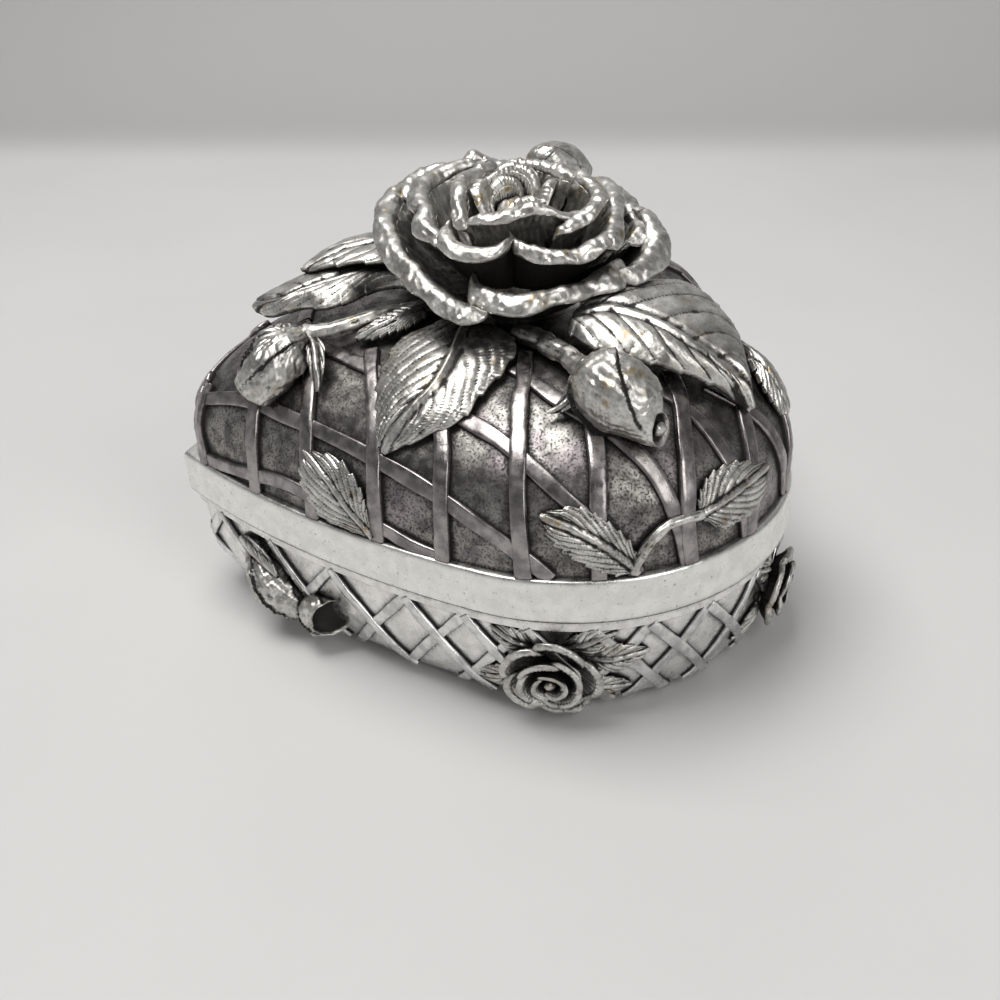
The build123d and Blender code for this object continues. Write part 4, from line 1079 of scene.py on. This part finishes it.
def add_stage():
    paper = Shader("paper")
    paper.set("Roughness", 0.6)
    paper.set("Specular IOR Level", 0.25)
    tone = paper.ramp(paper.noise(120.0, 3.0), 0.3, 0.7)
    pale = paper.mix(tone, (0.65, 0.65, 0.645, 1), (0.675, 0.675, 0.67, 1))
    split = paper.add("ShaderNodeSeparateXYZ", Vector=paper.place)
    # Painted shade: the backdrop beyond the floor is coloured darker, standing for the light falling off up
    # it
    far = paper.ramp(split.outputs["X"], -0.30, -0.36)
    paper.set("Base Color", paper.mix(far, pale, (0.46, 0.46, 0.46, 1)))
    sweep = bpy.data.meshes.new("backdrop")
    vertices, faces = [], []
    profile = [(0.8, 0.0), (BACKDROP_X, 0.0)]
    for step in range(1, 13):
        turn = math.radians(step * 7)
        profile.append((BACKDROP_X - BACKDROP_BEND * math.sin(turn), BACKDROP_BEND * (1 - math.cos(turn))))
    profile.append((-0.47, 1.2))
    for x, z in profile:
        vertices += [(x, -STAGE_HALF_WIDTH, z), (x, STAGE_HALF_WIDTH, z)]
    for i in range(len(profile) - 1):
        faces.append((2 * i, 2 * i + 1, 2 * i + 3, 2 * i + 2))
    sweep.from_pydata(vertices, [], faces)
    sweep.polygons.foreach_set("use_smooth", [True] * len(sweep.polygons))
    sweep.materials.append(paper.material)
    backdrop = bpy.data.objects.new("backdrop", sweep)
    backdrop.rotation_euler = (0, 0, BACKDROP_TURN)
    bpy.context.scene.collection.objects.link(backdrop)


def add_light(name, place, size, energy):
    data = bpy.data.lights.new(name, "AREA")
    data.shape = "RECTANGLE"
    data.size, data.size_y = size
    data.energy = energy
    data.color = LAMP_TINT
    light = bpy.data.objects.new(name, data)
    light.location = place
    light.rotation_euler = (Vector(place) - Vector(LAMP_AIM)).to_track_quat("Z", "Y").to_euler()
    bpy.context.scene.collection.objects.link(light)


def add_world():
    world = bpy.data.worlds.new("room")
    bpy.context.scene.world = world
    world.use_nodes = True
    tree = world.node_tree
    background = tree.nodes["Background"]
    coordinates = tree.nodes.new("ShaderNodeTexCoord")
    split = tree.nodes.new("ShaderNodeSeparateXYZ")
    ramp = tree.nodes.new("ShaderNodeValToRGB")
    tree.links.new(coordinates.outputs["Generated"], split.inputs["Vector"])
    tree.links.new(split.outputs["Z"], ramp.inputs["Fac"])
    stops = ramp.color_ramp.elements
    stops[0].position, stops[0].color = 0.0, (0.85, 0.85, 0.86, 1)
    stops[1].position, stops[1].color = 1.0, (0.30, 0.30, 0.31, 1)
    for position, value in ((0.3, 0.55), (0.55, 0.22), (0.8, 0.25)):
        stop = stops.new(position)
        stop.color = (value, value, value, 1)
    tree.links.new(ramp.outputs["Color"], background.inputs["Color"])
    background.inputs["Strength"].default_value = 0.63


add_camera()
add_stage()
add_world()
add_light("key", (-0.05, -0.2, 0.8), (0.55, 0.45), 5.3)
add_light("fill", (0.6, 0.3, 0.5), (0.3, 0.6), 1.8)
bpy.context.scene.view_settings.view_transform = "Standard"
